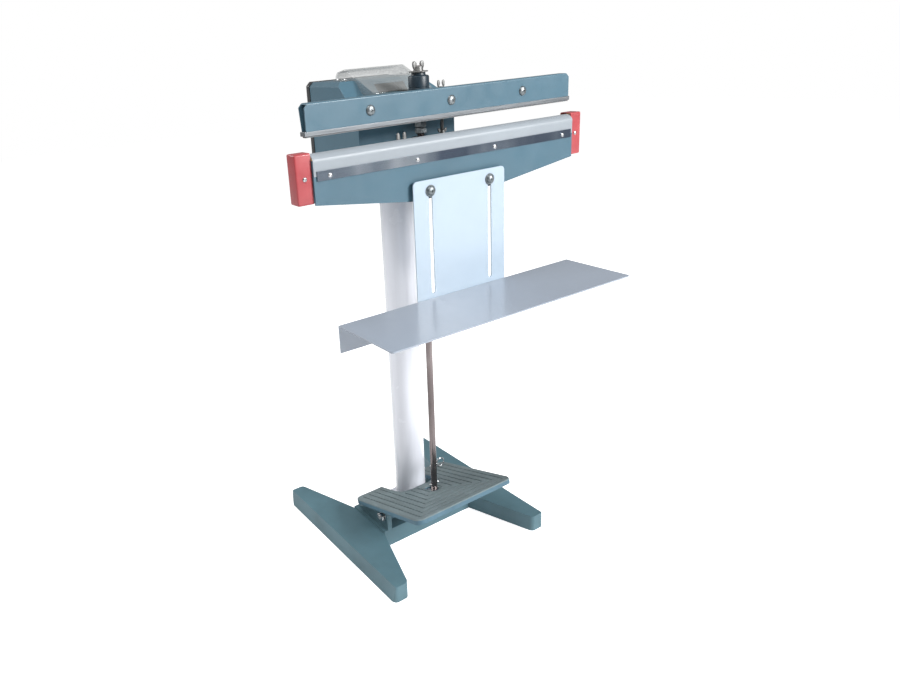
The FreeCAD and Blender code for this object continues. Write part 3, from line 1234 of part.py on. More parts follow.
def terminal_blocks():
    """Blocks at both ends of the lower jaw that pull the ribbon tight, with its clamp on top."""
    blocks = []
    for name, side in (("left", -1), ("right", 1)):
        def span(near, far):
            return (near, far) if side > 0 else ("-(%s)" % far, "-(%s)" % near)
        near = "jaw_half_length"
        core = block("terminal_core_" + name, span(near, near + "+18"),
                     ("lower_front_y+cap_setback+cap_wall+gap", "lower_front_y+lower_depth-cap_wall"),
                     ("cap_screw_z-14", "crest_z"))
        clamp = block("terminal_clamp_" + name, span(near + "+4", near + "+12"),
                      ("lower_front_y+lower_depth/2-4", "lower_front_y+lower_depth/2+4"),
                      ("crest_z+element_thickness", "crest_z+element_thickness+1.5"))
        hole = rod("terminal_hole_" + name, "Y", "2+fit", ("%d*cap_screw_x" % side, "lower_front_y", "cap_screw_z"),
                   "cap_setback+cap_wall+12")
        blocks.append(cut("terminal_%s_block" % name, core, hole))
        blocks.append(clamp)
    return node(group("terminal_blocks", *blocks), "terminal_blocks")


def end_cap(label, side):
    """Red moulded cap over one end of the lower jaw: a rounded box, open towards the jaw."""
    def span(near, far):
        return (near, far) if side > 0 else ("-(%s)" % far, "-(%s)" % near)
    near, far = "jaw_half_length+0.5", "jaw_half_length+0.5+cap_length"
    front, back = "lower_front_y+cap_setback", "lower_front_y+lower_depth+cap_rear_overhang"
    low, high = span(near, far)
    body = profile(label + "_body", "YZ_Plane", [(front, "cap_low_z"), (back, "cap_low_z"),
                                                 (back, "cap_top_z"), (front, "cap_top_z")], low, high)
    body = round_corners(body, "2.5", lambda edge, middle: abs(middle.x) > number(near) + 1)
    hollow_low, hollow_high = span(near + "-1", far + "-cap_wall")
    hollow = block(label + "_hollow", (hollow_low, hollow_high), (front + "+cap_wall", back + "-cap_wall"),
                   ("cap_low_z+cap_wall", "cap_top_z-cap_roof"))
    hole = rod(label + "_hole", "Y", "2+fit", ("%d*cap_screw_x" % side, front + "-1", "cap_screw_z"), "cap_wall+2")
    return node(cut(label, body, hollow, hole), label)


def jaw_bracket():
    """Folded bracket from the housing to the lower jaw; the rod runs between its cheeks."""
    half, plate = "bracket_half_width", "bracket_sheet"
    z = ("bracket_low_z", "bracket_top_z")
    front = "lower_front_y+lower_depth"
    web = block("bracket_web", ("-" + half, half), ("housing_front_y-%s" % plate, "housing_front_y"), z)
    solids = [web]
    for name, side in (("left", -1), ("right", 1)):
        def span(near, far):
            return (near, far) if side > 0 else ("-(%s)" % far, "-(%s)" % near)
        solids.append(block("bracket_cheek_" + name, span("%s-%s" % (half, plate), half), (front, "housing_front_y"), z))
        solids.append(block("bracket_tab_" + name, span(half + "-1", "%s+bracket_tab" % half),
                            (front, "%s+%s" % (front, plate)), z))
    solids.append(block("bracket_guide", ("-%s+1" % half, half + "-1"), ("rod_y-24", "housing_front_y-1"),
                        ("guide_z", "guide_z+guide_thickness")))
    slot = join("guide_slot", rod("guide_slot_near", "Z", "rod_radius+0.6", ("0", "rod_y-guide_travel", "guide_z-1"), "8"),
                rod("guide_slot_far", "Z", "rod_radius+0.6", ("0", "rod_y+1", "guide_z-1"), "8"),
                block("guide_slot_run", ("-rod_radius-0.6", "rod_radius+0.6"), ("rod_y-guide_travel", "rod_y+1"),
                      ("guide_z-1", "guide_z+guide_thickness+1")))
    holes = []
    for index, side in enumerate((-1, 1)):
        holes.append(rod("bracket_tab_hole_%d" % index, "Y", "3+fit",
                         ("%d*(bracket_half_width+bracket_tab/2)" % side, front + "-1",
                          "(bracket_low_z+bracket_top_z)/2"), "bracket_sheet+2"))
    return node(cut("jaw_bracket", join("bracket_solid", *solids), slot, *holes), "jaw_bracket")


def bracket_bolts():
    bolts = []
    for index, side in enumerate((-1, 1)):
        x = "%d*(bracket_half_width+bracket_tab/2)" % side
        z = "(bracket_low_z+bracket_top_z)/2"
        face = "lower_front_y+lower_depth+bracket_sheet"
        head = hexagon("bracket_bolt_head_%d" % index, "Y", "5.6", (x, face, z), "4")
        stem = rod("bracket_bolt_stem_%d" % index, "Y", "3", (x, face + "-bracket_sheet-lower_sheet-3", z),
                   "bracket_sheet+lower_sheet+3.5")
        bolts.append(join("bracket_bolt_%d" % index, head, stem))
    return node(group("bracket_bolts", *bolts), "bracket_bolts")


def cloth_wing_nut():
    """Stud and wing nut behind the lower jaw that draw the fabric's rear edge tight."""
    x, y, z = "-78", "lower_front_y+lower_depth+cloth+strip_thickness", "lower_top_z-9"
    foot_plate = block("cloth_nut_plate", (x + "-9", x + "+9"), (y, y + "+2"), ("strip_screw_z+4.5", z + "+7"))
    stud = rod("cloth_nut_stud", "Y", "2.5", (x, y + "+1", z), "16")
    hub = rod("cloth_nut_hub", "Y", "4.6", (x, y + "+7", z), "5")
    wings = [block("cloth_nut_wing_%d" % index, (x + low, x + high), (y + "+8", y + "+10"), (z + "+0.5", z + "+14"))
             for index, (low, high) in enumerate((("-9", "-3.4"), ("+3.4", "+9")))]
    bridge = block("cloth_nut_bridge", (x + "-9", x + "+9"), (y + "+8", y + "+10"), (z + "-2", z + "+3"))
    return node(join("cloth_wing_nut", foot_plate, stud, hub, bridge, *wings), "cloth_wing_nut")


def slotted_plate():
    """Vertical plate of the bag shelf, with its two height slots."""
    half = "plate_half_width"
    back = "lower_front_y-plate_gap"
    body = profile("plate_body", "XZ_Plane", [("-" + half, "plate_low_z"), (half, "plate_low_z"),
                                              (half, "plate_top_z"), ("-" + half, "plate_top_z")],
                   back + "-shelf_sheet", back)
    body = round_corners(body, "plate_corner_radius", lambda edge, middle: runs_along(edge, (0, 1, 0)))
    tools = []
    for index, side in enumerate((-1, 1)):
        x = "%d*slot_x" % side
        high = "shelf_bolt_z+1"
        start = back + "-shelf_sheet-1"
        tools.append(block("slot_run_%d" % index, (x + "-slot_half_width", x + "+slot_half_width"),
                           (start, back + "+1"), ("slot_low_z", high)))
        tools.append(rod("slot_high_%d" % index, "Y", "slot_half_width", (x, start, high), "shelf_sheet+2"))
        tools.append(rod("slot_low_%d" % index, "Y", "slot_half_width", (x, start, "slot_low_z"), "shelf_sheet+2"))
        for row, z in enumerate(("shelf_z-14", "shelf_z-30")):
            tools.append(rod("plate_screw_hole_%d%d" % (index, row), "Y", "2+fit",
                             ("%d*(plate_half_width-14)" % side, start, z), "shelf_sheet+2"))
    return node(cut("slotted_plate", body, *tools), "slotted_plate")


def bag_shelf():
    """Bent sheet shelf with a deep rear flange and a small rounded front."""
    half = "shelf_half_length"
    back = "lower_front_y-plate_gap-shelf_sheet"
    body = profile("shelf_body", "YZ_Plane", [
        ("shelf_front_y", "shelf_z-shelf_sheet"), (back + "-shelf_sheet", "shelf_z-shelf_sheet"),
        (back + "-shelf_sheet", "shelf_z-shelf_flange"), (back, "shelf_z-shelf_flange"),
        (back, "shelf_z"), ("shelf_front_y", "shelf_z"),
    ], "-" + half, half)
    body = round_corners(body, "shelf_sheet*1.2", lambda edge, middle: runs_along(edge, (1, 0, 0))
                         and middle.z > number("shelf_z") - 0.5 and middle.y > number(back) - 0.5)
    corner = round_corners(body, "4", lambda edge, middle: runs_along(edge, (0, 0, 1))
                           and middle.y < number("shelf_front_y") + 0.5)
    holes = []
    for index, side in enumerate((-1, 1)):
        for row, z in enumerate(("shelf_z-14", "shelf_z-30")):
            holes.append(rod("shelf_screw_hole_%d%d" % (index, row), "Y", "2+fit",
                             ("%d*(plate_half_width-14)" % side, back + "-shelf_sheet-1", z), "shelf_sheet+2"))
    return node(cut("bag_shelf", corner, *holes), "bag_shelf")


def shelf_rivets():
    rivets = []
    back = "lower_front_y-plate_gap-shelf_sheet"
    for index, side in enumerate((-1, 1)):
        for row, z in enumerate(("shelf_z-14", "shelf_z-30")):
            rivets.append(dome_screw("shelf_rivet_%d%d" % (index, row), "4", "2", "2",
                                     ("%d*(plate_half_width-14)" % side, back + "-shelf_sheet", z),
                                     "2*shelf_sheet+1"))
    return node(group("shelf_rivets", *rivets), "shelf_rivets")


def shelf_bolts():
    """Two dome bolts with broad washers, and the hex spacers behind the slotted plate."""
    bolts = []
    for index, side in enumerate((-1, 1)):
        x = "%d*slot_x" % side
        face = "lower_front_y-plate_gap-shelf_sheet-gap"
        washer = rod("shelf_washer_%d" % index, "Y", "shelf_washer_radius", (x, face + "-1.4", "shelf_bolt_z"), "1.4")
        bolt = dome_screw("shelf_bolt_dome_%d" % index, "7.4", "4", "shelf_bolt_radius",
                          (x, face + "-1.4", "shelf_bolt_z"), "1.4+gap+shelf_sheet+plate_gap+lower_sheet+4")
        bolts.append(join("shelf_bolt_%d" % index, washer, bolt))
        start = "lower_front_y-plate_gap+gap"
        body = hexagon("spacer_hex_%d" % index, "Y", "6.4", (x, start, "shelf_bolt_z"), "plate_gap-gap")
        hole = rod("spacer_hole_%d" % index, "Y", "shelf_bolt_radius+0.05", (x, start + "-1", "shelf_bolt_z"),
                   "plate_gap+2")
        bolts.append(cut("spacer_%d" % index, body, hole))
    return node(group("shelf_bolts", *bolts), "shelf_bolts")


def transformer():
    """Laminated transformer on the housing floor, windings between its legs."""
    wall = "-housing_half_width"
    x, y, z = (wall + "+9", wall + "+55"), ("-30", "34"), ("housing_floor_z+sheet", "housing_floor_z+sheet+66")
    core = block("transformer_core", x, y, z)
    winding = block("transformer_winding", (wall + "+4", wall + "+58"), ("-16", "20"),
                    ("housing_floor_z+sheet+12", "housing_floor_z+sheet+54"))
    return node(join("transformer", core, winding), "transformer")


def timer_board():
    """Upright circuit board beside the right wall, with the timer's potentiometer body."""
    board = block("board_plate", ("pot_x-9", "pot_x-7.4"), ("4", "84"), ("housing_floor_z+sheet", "controls_z+20"))
    pot = block("board_pot", ("pot_x-7.4", "pot_x"), ("44", "60"), ("controls_z-8", "controls_z+8"))
    relay = block("board_relay", ("pot_x-25", "pot_x-9"), ("54", "80"), ("housing_floor_z+32", "housing_floor_z+54"))
    return node(join("timer_board", board, pot, relay), "timer_board")


def timer_knob():
    """Fluted timer knob on the right wall, its spindle through to the potentiometer."""
    face = "housing_half_width+gap+0.3"
    body = cone("knob_body", "X", "13", "11", (face, "52", "controls_z"), "13")
    skirt = rod("knob_skirt", "X", "15", (face, "52", "controls_z"), "3")
    spindle = rod("knob_spindle", "X", "3", ("pot_x+gap", "52", "controls_z"), "pot_setback+4")
    flutes = []
    for index in range(10):
        angle = "36*%d" % index
        flutes.append(rod("knob_flute_%d" % index, "X", "1.6", (face + "+3.2", "52+13.4*cos(%s)" % angle,
                                                              "controls_z+13.4*sin(%s)" % angle), "12"))
    return node(cut("timer_knob", join("knob_solid", body, skirt, spindle), *flutes), "timer_knob")


def power_switch():
    """Rocker switch: fixed bezel in the right wall and the rocker that tips in it."""
    face = "housing_half_width"
    frame_box = block("bezel_outside", (face, face + "+2"), ("3", "22.6"), ("controls_z-13", "controls_z+13"))
    throat = block("bezel_throat", (face + "-16", face + "+1"), ("6.2", "19.4"), ("controls_z-9.8", "controls_z+9.8"))
    hollow = block("bezel_hollow", (face + "-12", face + "+3"), ("7.4", "18.2"), ("controls_z-8", "controls_z+8"))
    bore = rod("bezel_pin_bore", "Y", "1.45", (face + "-3", "6.1", "controls_z"), "13.4")
    node(cut("switch_bezel", join("bezel_solid", frame_box, throat), hollow, bore), "switch_bezel")
    rocker = profile("rocker_body", "XZ_Plane", [
        (face + "-5", "controls_z-6.4"), (face + "+1.2", "controls_z-6.8"), (face + "+2.6", "controls_z"), (face + "+4.4", "controls_z+6.6"),
        (face + "-5", "controls_z+6.4"),
    ], "7.9", "17.7")
    pins = rod("rocker_pins", "Y", "1.4", (face + "-3", "6.9", "controls_z"), "11.8")
    node(join("power_rocker", rocker, pins), "power_rocker")


def micro_switch():
    """Snap switch on the bracket's cheek, under the adjuster's tip, with its plunger."""
    body = block("snap_body", ("bracket_half_width", "bracket_half_width+20"), ("rod_y-7", "rod_y+17"),
                 ("bracket_top_z-12", "bracket_top_z+8"))
    plunger = rod("snap_plunger", "Z", "1.8", ("adjuster_x", "rod_y+3", "bracket_top_z+7"), "6.8")
    return node(join("micro_switch", body, plunger), "micro_switch")


foot("left_foot", -1)
foot("right_foot", 1)
base_bridge()
leg_bolts()
column()
column_socket()
socket_bolts()
pedal_axle()
axle_nuts()
pedal()
pedal_bushes()
pull_rod()
rod_foot_nuts()
rod_stop_nuts()
return_spring()
rod_pins()
pressure_sleeve()
top_washer()
wing_nut()
column_head()
head_housing()
rear_cover()
cord_gland()
hinge_bracket()
hinge_shaft()
shaft_collars()
swing_arm()
arm_bushes()
clear_hood()
hood_screws()
upper_jaw()
jaw_back_bar()
jaw_bolts()
pad_holder()
pressing_pad()
adjuster_screw()
adjuster_lock()
lower_jaw()
jaw_insulator()
heating_ribbon()
jaw_cloth()
clamp_strips()
jaw_screws()
terminal_blocks()
end_cap("left_end_cap", -1)
end_cap("right_end_cap", 1)
jaw_bracket()
bracket_bolts()
cloth_wing_nut()
slotted_plate()
bag_shelf()
shelf_rivets()
shelf_bolts()
transformer()
timer_board()
timer_knob()
power_switch()
micro_switch()
doc.recompute()

for item in doc.Objects:
    if "Invalid" in item.State or "Error" in item.State:
        raise ValueError("%s did not build: %s" % (item.Label, item.State))
bad = [item.Label for item in NODES if item.Shape.isNull() or not item.Shape.isValid()]
if bad:
    raise ValueError("No valid shape: " + ", ".join(bad))

os.makedirs("parts", exist_ok=True)
for item in NODES:
    item.Shape.exportStep(os.path.join("parts", item.Label + ".step"))
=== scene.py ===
import math
from math import cos, pi, radians, sin

import bmesh
import bpy
from mathutils import Matrix, Vector


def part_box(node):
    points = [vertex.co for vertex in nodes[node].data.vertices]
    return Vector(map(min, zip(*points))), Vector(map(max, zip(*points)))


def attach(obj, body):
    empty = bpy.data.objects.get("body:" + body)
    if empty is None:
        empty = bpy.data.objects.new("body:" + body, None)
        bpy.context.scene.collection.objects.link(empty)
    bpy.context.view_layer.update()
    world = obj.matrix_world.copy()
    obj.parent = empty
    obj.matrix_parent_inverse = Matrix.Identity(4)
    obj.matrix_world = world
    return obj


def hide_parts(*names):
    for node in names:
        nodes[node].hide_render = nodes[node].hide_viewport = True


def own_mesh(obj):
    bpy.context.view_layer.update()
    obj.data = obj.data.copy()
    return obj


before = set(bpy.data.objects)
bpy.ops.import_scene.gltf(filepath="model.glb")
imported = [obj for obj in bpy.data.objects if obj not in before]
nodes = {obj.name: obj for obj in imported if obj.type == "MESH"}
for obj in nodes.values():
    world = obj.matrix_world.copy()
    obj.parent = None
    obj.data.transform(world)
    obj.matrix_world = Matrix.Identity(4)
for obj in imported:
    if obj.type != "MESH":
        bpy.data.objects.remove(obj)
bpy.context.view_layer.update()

# Axes that several pieces share, in metres
ROD_Y = -0.079
AXLE_Y, AXLE_Z = -0.040, 0.062


# Camera and studio
def add_camera():
    """Camera as far round and as high as the one that took the photograph."""
    data = bpy.data.cameras.new("studio_camera")
    data.sensor_width = 36.0
    data.lens = 29.435
    data.shift_x = 0.1084
    data.shift_y = -0.0259
    data.clip_start = 0.01
    data.clip_end = 50.0
    camera = bpy.data.objects.new("studio_camera", data)
    bpy.context.scene.collection.objects.link(camera)
    yaw, pitch, roll = radians(31.04), radians(19.99), radians(-4.34)
    ahead = Vector((sin(yaw) * cos(pitch), cos(yaw) * cos(pitch), -sin(pitch)))
    level = Vector((cos(yaw), -sin(yaw), 0.0))
    rise = level.cross(ahead)
    right = level * cos(roll) + rise * sin(roll)
    up = rise * cos(roll) - level * sin(roll)
    turn = Matrix((right, up, -ahead)).transposed().to_4x4()
    camera.matrix_world = Matrix.Translation((-0.74863, -1.06363, 0.92459)) @ turn
    bpy.context.scene.camera = camera


def soft_light(name, place, aim, size, power):
    """Rectangular white light that looks at a point."""
    data = bpy.data.lights.new(name, "AREA")
    data.shape = "RECTANGLE"
    data.size, data.size_y = size
    data.energy = power
    lamp = bpy.data.objects.new(name, data)
    lamp.location = place
    lamp.rotation_euler = (Vector(aim) - Vector(place)).to_track_quat("-Z", "Y").to_euler()
    bpy.context.scene.collection.objects.link(lamp)


def two_levels(tree, lit, seen):
    """A strength with one value for the light it casts and another for the eye."""
    path = tree.nodes.new("ShaderNodeLightPath")
    level = tree.nodes.new("ShaderNodeMapRange")
    level.inputs["To Min"].default_value = lit
    level.inputs["To Max"].default_value = seen
    tree.links.new(path.outputs["Is Camera Ray"], level.inputs["Value"])
    return level.outputs["Result"]


def add_studio():
    """White surroundings for the eye, dimmer ones for the light, and a bright floor."""
    bpy.context.scene.view_settings.view_transform = "Standard"
    world = bpy.data.worlds.new("studio_white")
    bpy.context.scene.world = world
    world.use_nodes = True
    tree = world.node_tree
    sky = tree.nodes["Background"]
    sky.inputs["Color"].default_value = (1.0, 1.0, 1.0, 1.0)
    tree.links.new(two_levels(tree, 0.30, 1.0), sky.inputs["Strength"])
    soft_light("key_light", (1.3, -2.6, 1.75), (0.0, 0.0, 0.5), (0.9, 0.9), 118.0)
    soft_light("top_light", (-0.7, -0.4, 2.6), (0.0, 0.0, 0.5), (1.4, 1.4), 30.0)
    soft_light("rim_light", (-1.4, 1.9, 1.9), (0.0, 0.0, 0.6), (1.0, 1.0), 24.0)
    floor = bmesh.new()
    bmesh.ops.create_grid(floor, x_segments=1, y_segments=1, size=8.0)
    mesh = bpy.data.meshes.new("studio_floor")
    floor.to_mesh(mesh)
    floor.free()
    ground = bpy.data.objects.new("studio_floor", mesh)
    bpy.context.scene.collection.objects.link(ground)
    pale = bpy.data.materials.new("pale_floor")
    pale.use_nodes = True
    tree = pale.node_tree
    shader = tree.nodes["Principled BSDF"]
    shader.inputs["Base Color"].default_value = (0.93, 0.93, 0.93, 1.0)
    shader.inputs["Roughness"].default_value = 0.85
    shader.inputs["Emission Color"].default_value = (1.0, 1.0, 1.0, 1.0)
    tree.links.new(two_levels(tree, 0.22, 0.72), shader.inputs["Emission Strength"])
    mesh.materials.append(pale)


# Finishes: every pattern reads the piece's own coordinates, in metres
class Finish:
    """A material under construction: its shader, and the patterns that drive it."""

    def __init__(self, name, metallic=0.0, **sockets):
        self.material = bpy.data.materials.new(name)
        self.material.use_nodes = True
        self.tree = self.material.node_tree
        self.shader = self.tree.nodes["Principled BSDF"]
        self.coordinates = self.tree.nodes.new("ShaderNodeTexCoord")
        self.shader.inputs["Metallic"].default_value = metallic
        for socket, value in sockets.items():
            self.shader.inputs[socket.replace("_", " ").title()].default_value = value
        self.height = None

    def link(self, start, end):
        self.tree.links.new(start, end)
        return end

    def noise(self, scale, detail, stretch=(1.0, 1.0, 1.0)):
        """Cloudy pattern: scale is repeats per metre, and a stretch below 1 draws it out along an axis."""
        place = self.tree.nodes.new("ShaderNodeMapping")
        place.inputs["Scale"].default_value = stretch
        self.link(self.coordinates.outputs["Object"], place.inputs["Vector"])
        cloud = self.tree.nodes.new("ShaderNodeTexNoise")
        cloud.inputs["Scale"].default_value = scale
        cloud.inputs["Detail"].default_value = detail
        self.link(place.outputs["Vector"], cloud.inputs["Vector"])
        return cloud.outputs["Fac"]

    def weave(self, scale):
        """Square cloth weave from two crossed sets of bands."""
        bands = []
        for direction in ("X", "Y"):
            wave = self.tree.nodes.new("ShaderNodeTexWave")
            wave.bands_direction = direction
            wave.inputs["Scale"].default_value = scale
            self.link(self.coordinates.outputs["Object"], wave.inputs["Vector"])
            bands.append(wave.outputs["Fac"])
        cross = self.tree.nodes.new("ShaderNodeMath")
        cross.operation = "MULTIPLY"
        self.link(bands[0], cross.inputs[0])
        self.link(bands[1], cross.inputs[1])
        return cross.outputs["Value"]

    def spread(self, pattern, low, high, start=0.3, stop=0.7):
        """Stretch a pattern's middle range between two values."""
        ramp = self.tree.nodes.new("ShaderNodeMapRange")
        ramp.inputs["From Min"].default_value = start
        ramp.inputs["From Max"].default_value = stop
        ramp.inputs["To Min"].default_value = low
        ramp.inputs["To Max"].default_value = high
        self.link(pattern, ramp.inputs["Value"])
        return ramp.outputs["Result"]

    def tint(self, pattern, *stops):
        """Colour from a pattern through a ramp of (place, colour) stops."""
        ramp = self.tree.nodes.new("ShaderNodeValToRGB")
        steps = ramp.color_ramp.elements
        while len(steps) < len(stops):
            steps.new(0.5)
        for step, (place, colour) in zip(steps, stops):
            step.position = place
            step.color = (*colour, 1.0)
        self.link(pattern, ramp.inputs["Fac"])
        return ramp.outputs["Color"]

    def mix(self, factor, first, second):
        blend = self.tree.nodes.new("ShaderNodeMix")
        blend.data_type = "RGBA"
        self.link(factor, blend.inputs["Factor"])
        self.link(first, blend.inputs["A"])
        self.link(second, blend.inputs["B"])
        return blend.outputs["Result"]

    def colour(self, output):
        self.link(output, self.shader.inputs["Base Color"])

    def rough(self, pattern, low, high):
        self.link(self.spread(pattern, low, high), self.shader.inputs["Roughness"])

    def bump(self, pattern, depth, strength):
        """Add a layer of relief; depth is in metres."""
        relief = self.tree.nodes.new("ShaderNodeBump")
        relief.inputs["Distance"].default_value = depth
        relief.inputs["Strength"].default_value = strength
        self.link(pattern, relief.inputs["Height"])
        if self.height is not None:
            self.link(self.height, relief.inputs["Normal"])
        self.height = relief.outputs["Normal"]
        self.link(self.height, self.shader.inputs["Normal"])


def shade(colour, factor):
    return tuple(min(1.0, part * factor) for part in colour)


BLUE_GREY = (0.058, 0.124, 0.168)


def cast_paint():
    """Satin paint over a sand casting: soft lumps, fine grain, dusty patches."""
    finish = Finish("cast_paint")
    patches = finish.noise(14.0, 4.0)
    grain = finish.noise(900.0, 3.0)
    colour = (0.081, 0.159, 0.191)
    body = finish.tint(patches, (0.32, shade(colour, 0.84)), (0.5, colour), (0.68, shade(colour, 1.14)))
    dust = finish.tint(grain, (0.3, shade(colour, 0.9)), (0.7, shade(colour, 1.1)))
    finish.colour(finish.mix(finish.spread(patches, 0.15, 0.45), body, dust))
    finish.rough(grain, 0.46, 0.62)
    finish.bump(finish.noise(70.0, 3.0), 0.0006, 0.35)
    finish.bump(grain, 0.00015, 0.5)
    return finish.material


def sheet_paint():
    """Smooth stoved paint on folded sheet, with a slight orange peel."""
    finish = Finish("sheet_paint", coat_weight=0.12, coat_roughness=0.25)
    cloud = finish.noise(7.0, 3.0)
    peel = finish.noise(420.0, 2.0)
    low, high = shade(BLUE_GREY, 0.93), shade(BLUE_GREY, 1.07)
    finish.colour(finish.tint(cloud, (0.3, low), (0.5, BLUE_GREY), (0.72, high)))
    finish.rough(finish.noise(45.0, 4.0), 0.32, 0.46)
    finish.bump(peel, 0.00008, 0.4)
    return finish.material


def column_enamel():
    """Glossy light grey enamel on tube, faintly streaked along its length."""
    finish = Finish("column_enamel", coat_weight=0.5, coat_roughness=0.08)
    streak = finish.noise(60.0, 3.0, (1.0, 1.0, 0.06))
    light = (0.70, 0.72, 0.78)
    finish.colour(finish.tint(streak, (0.3, shade(light, 0.95)), (0.7, shade(light, 1.05))))
    finish.rough(finish.noise(25.0, 3.0), 0.16, 0.28)
    finish.bump(finish.noise(260.0, 2.0), 0.00006, 0.35)
    return finish.material


def shelf_enamel(name, light):
    """Light satin coating on sheet steel, cloudy and faintly scuffed."""
    finish = Finish(name, coat_weight=0.35, coat_roughness=0.16)
    scuff = finish.noise(70.0, 5.0)
    cloud = finish.noise(6.0, 3.0)
    even = finish.tint(cloud, (0.3, shade(light, 0.95)), (0.7, shade(light, 1.05)))
    worn = finish.tint(scuff, (0.35, shade(light, 0.98)), (0.65, shade(light, 1.02)))
    finish.colour(finish.mix(finish.spread(cloud, 0.1, 0.4), even, worn))
    finish.rough(scuff, 0.30, 0.37)
    finish.bump(finish.noise(300.0, 2.0), 0.00005, 0.25)
    return finish.material


def plated_steel():
    """Bright plating with fine turning marks and a few dull spots."""
    finish = Finish("plated_steel", metallic=1.0)
    dull = finish.noise(120.0, 4.0)
    finish.colour(finish.tint(dull, (0.35, (0.34, 0.35, 0.36)), (0.6, (0.52, 0.53, 0.54))))
    finish.rough(dull, 0.20, 0.34)
    finish.bump(finish.noise(1500.0, 2.0), 0.00002, 0.4)
    return finish.material


def dull_plating():
    """Older plating on the heads in front: grey, blurred and a little pitted."""
    finish = Finish("dull_plating", metallic=1.0)
    pits = finish.noise(260.0, 4.0)
    finish.colour(finish.tint(pits, (0.35, (0.13, 0.15, 0.16)), (0.65, (0.25, 0.27, 0.28))))
    finish.rough(pits, 0.36, 0.50)
    finish.bump(finish.noise(1500.0, 2.0), 0.00002, 0.4)
    return finish.material


def cast_zinc():
    """Die-cast zinc with the grain of its mould."""
    finish = Finish("cast_zinc", metallic=0.75)
    grain = finish.noise(700.0, 3.0)
    cloud = finish.noise(90.0, 3.0)
    finish.colour(finish.tint(cloud, (0.3, (0.13, 0.13, 0.13)), (0.7, (0.22, 0.22, 0.215))))
    finish.rough(cloud, 0.42, 0.58)
    finish.bump(grain, 0.00004, 0.5)
    return finish.material


def sleeve_moulding():
    """Satin blue-black plastic, turned smooth."""
    finish = Finish("sleeve_moulding")
    cloud = finish.noise(90.0, 3.0)
    finish.colour(finish.tint(cloud, (0.3, (0.007, 0.018, 0.029)), (0.7, (0.013, 0.030, 0.046))))
    finish.rough(cloud, 0.36, 0.46)
    finish.bump(finish.noise(900.0, 2.0), 0.00002, 0.4)
    return finish.material


def polished_strip():
    """Polished steel strip, drawn along its length, its colour clouded from dark blue to bright as painted
    reflection.
    """
    finish = Finish("polished_strip", metallic=1.0)
    drawn = finish.noise(900.0, 4.0, (0.01, 1.0, 1.0))
    cloud = finish.noise(9.0, 3.0, (1.0, 0.2, 0.2))
    # Painted reflection: these dark blue, middle and bright colours stand in for what the polished steel
    # mirrors.
    dark_reflection, middle, bright = (0.15, 0.19, 0.26), (0.32, 0.38, 0.46), (0.66, 0.72, 0.79)
    finish.colour(finish.tint(cloud, (0.36, dark_reflection), (0.52, middle), (0.70, bright)))
    finish.rough(drawn, 0.07, 0.2)
    finish.bump(drawn, 0.00002, 0.5)
    return finish.material


def oiled_rod():
    """Drawn steel rod, brownish, painted dark as a reflection of dark surroundings and clouded lighter in
    long patches along its length.
    """
    finish = Finish("oiled_rod", metallic=1.0)
    rod_cloud = finish.noise(30.0, 4.0, (1.0, 1.0, 0.25))
    # Painted reflection: these dark colours stand in for the dark surroundings that the rod mirrors.
    dark_reflection, brown, rubbed = (0.10, 0.085, 0.085), (0.20, 0.17, 0.17), (0.34, 0.31, 0.31)
    finish.colour(finish.tint(rod_cloud, (0.3, dark_reflection), (0.5, brown), (0.72, rubbed)))
    finish.rough(finish.noise(240.0, 3.0, (1.0, 1.0, 0.1)), 0.14, 0.30)
    finish.bump(finish.noise(900.0, 2.0), 0.00002, 0.4)
    return finish.material


def drawn_bar():
    """Bare steel bar with the lines of its drawing."""
    finish = Finish("drawn_bar", metallic=1.0)
    drawn = finish.noise(700.0, 4.0, (0.02, 1.0, 1.0))
    finish.colour(finish.tint(drawn, (0.3, (0.38, 0.38, 0.39)), (0.7, (0.56, 0.56, 0.57))))
    finish.rough(drawn, 0.28, 0.45)
    finish.bump(drawn, 0.00003, 0.5)
    return finish.material


def red_moulding():
    """Glossy red moulded plastic, slightly chalky where it is rubbed."""
    finish = Finish("red_moulding", subsurface_weight=0.05, coat_weight=0.2)
    cloud = finish.noise(30.0, 4.0)
    red = (0.38, 0.052, 0.060)
    finish.colour(finish.tint(cloud, (0.3, shade(red, 0.9)), (0.55, red), (0.78, (0.42, 0.085, 0.088))))
    finish.rough(finish.noise(200.0, 3.0), 0.30, 0.44)
    finish.bump(finish.noise(600.0, 2.0), 0.00005, 0.35)
    return finish.material


def black_moulding():
    """Fine spark-eroded black plastic."""
    finish = Finish("black_moulding")
    fine = finish.noise(2200.0, 2.0)
    cloud = finish.noise(40.0, 3.0)
    finish.colour(finish.tint(cloud, (0.3, (0.014, 0.022, 0.032)), (0.7, (0.028, 0.044, 0.062))))
    finish.rough(fine, 0.38, 0.56)
    finish.bump(fine, 0.00004, 0.5)
    return finish.material


def black_enamel():
    """Black stoved paint on the pressed rear cover."""
    finish = Finish("black_enamel", coat_weight=0.2)
    cloud = finish.noise(12.0, 3.0)
    finish.colour(finish.tint(cloud, (0.3, (0.010, 0.011, 0.013)), (0.7, (0.022, 0.023, 0.026))))
    finish.rough(finish.noise(70.0, 3.0), 0.32, 0.46)
    finish.bump(finish.noise(380.0, 2.0), 0.00008, 0.4)
    return finish.material


def clear_moulding():
    """Slightly smoky clear plastic, denser where it is seen edge on."""
    finish = Finish("clear_moulding", coat_weight=0.4, coat_roughness=0.04)
    haze = finish.noise(20.0, 3.0)
    finish.colour(finish.tint(haze, (0.3, (0.28, 0.295, 0.295)), (0.7, (0.38, 0.395, 0.395))))
    finish.rough(haze, 0.05, 0.14)
    edge = finish.tree.nodes.new("ShaderNodeLayerWeight")
    edge.inputs["Blend"].default_value = 0.35
    density = finish.spread(edge.outputs["Facing"], 0.10, 0.72, 0.15, 0.95)
    finish.link(density, finish.shader.inputs["Alpha"])
    return finish.material


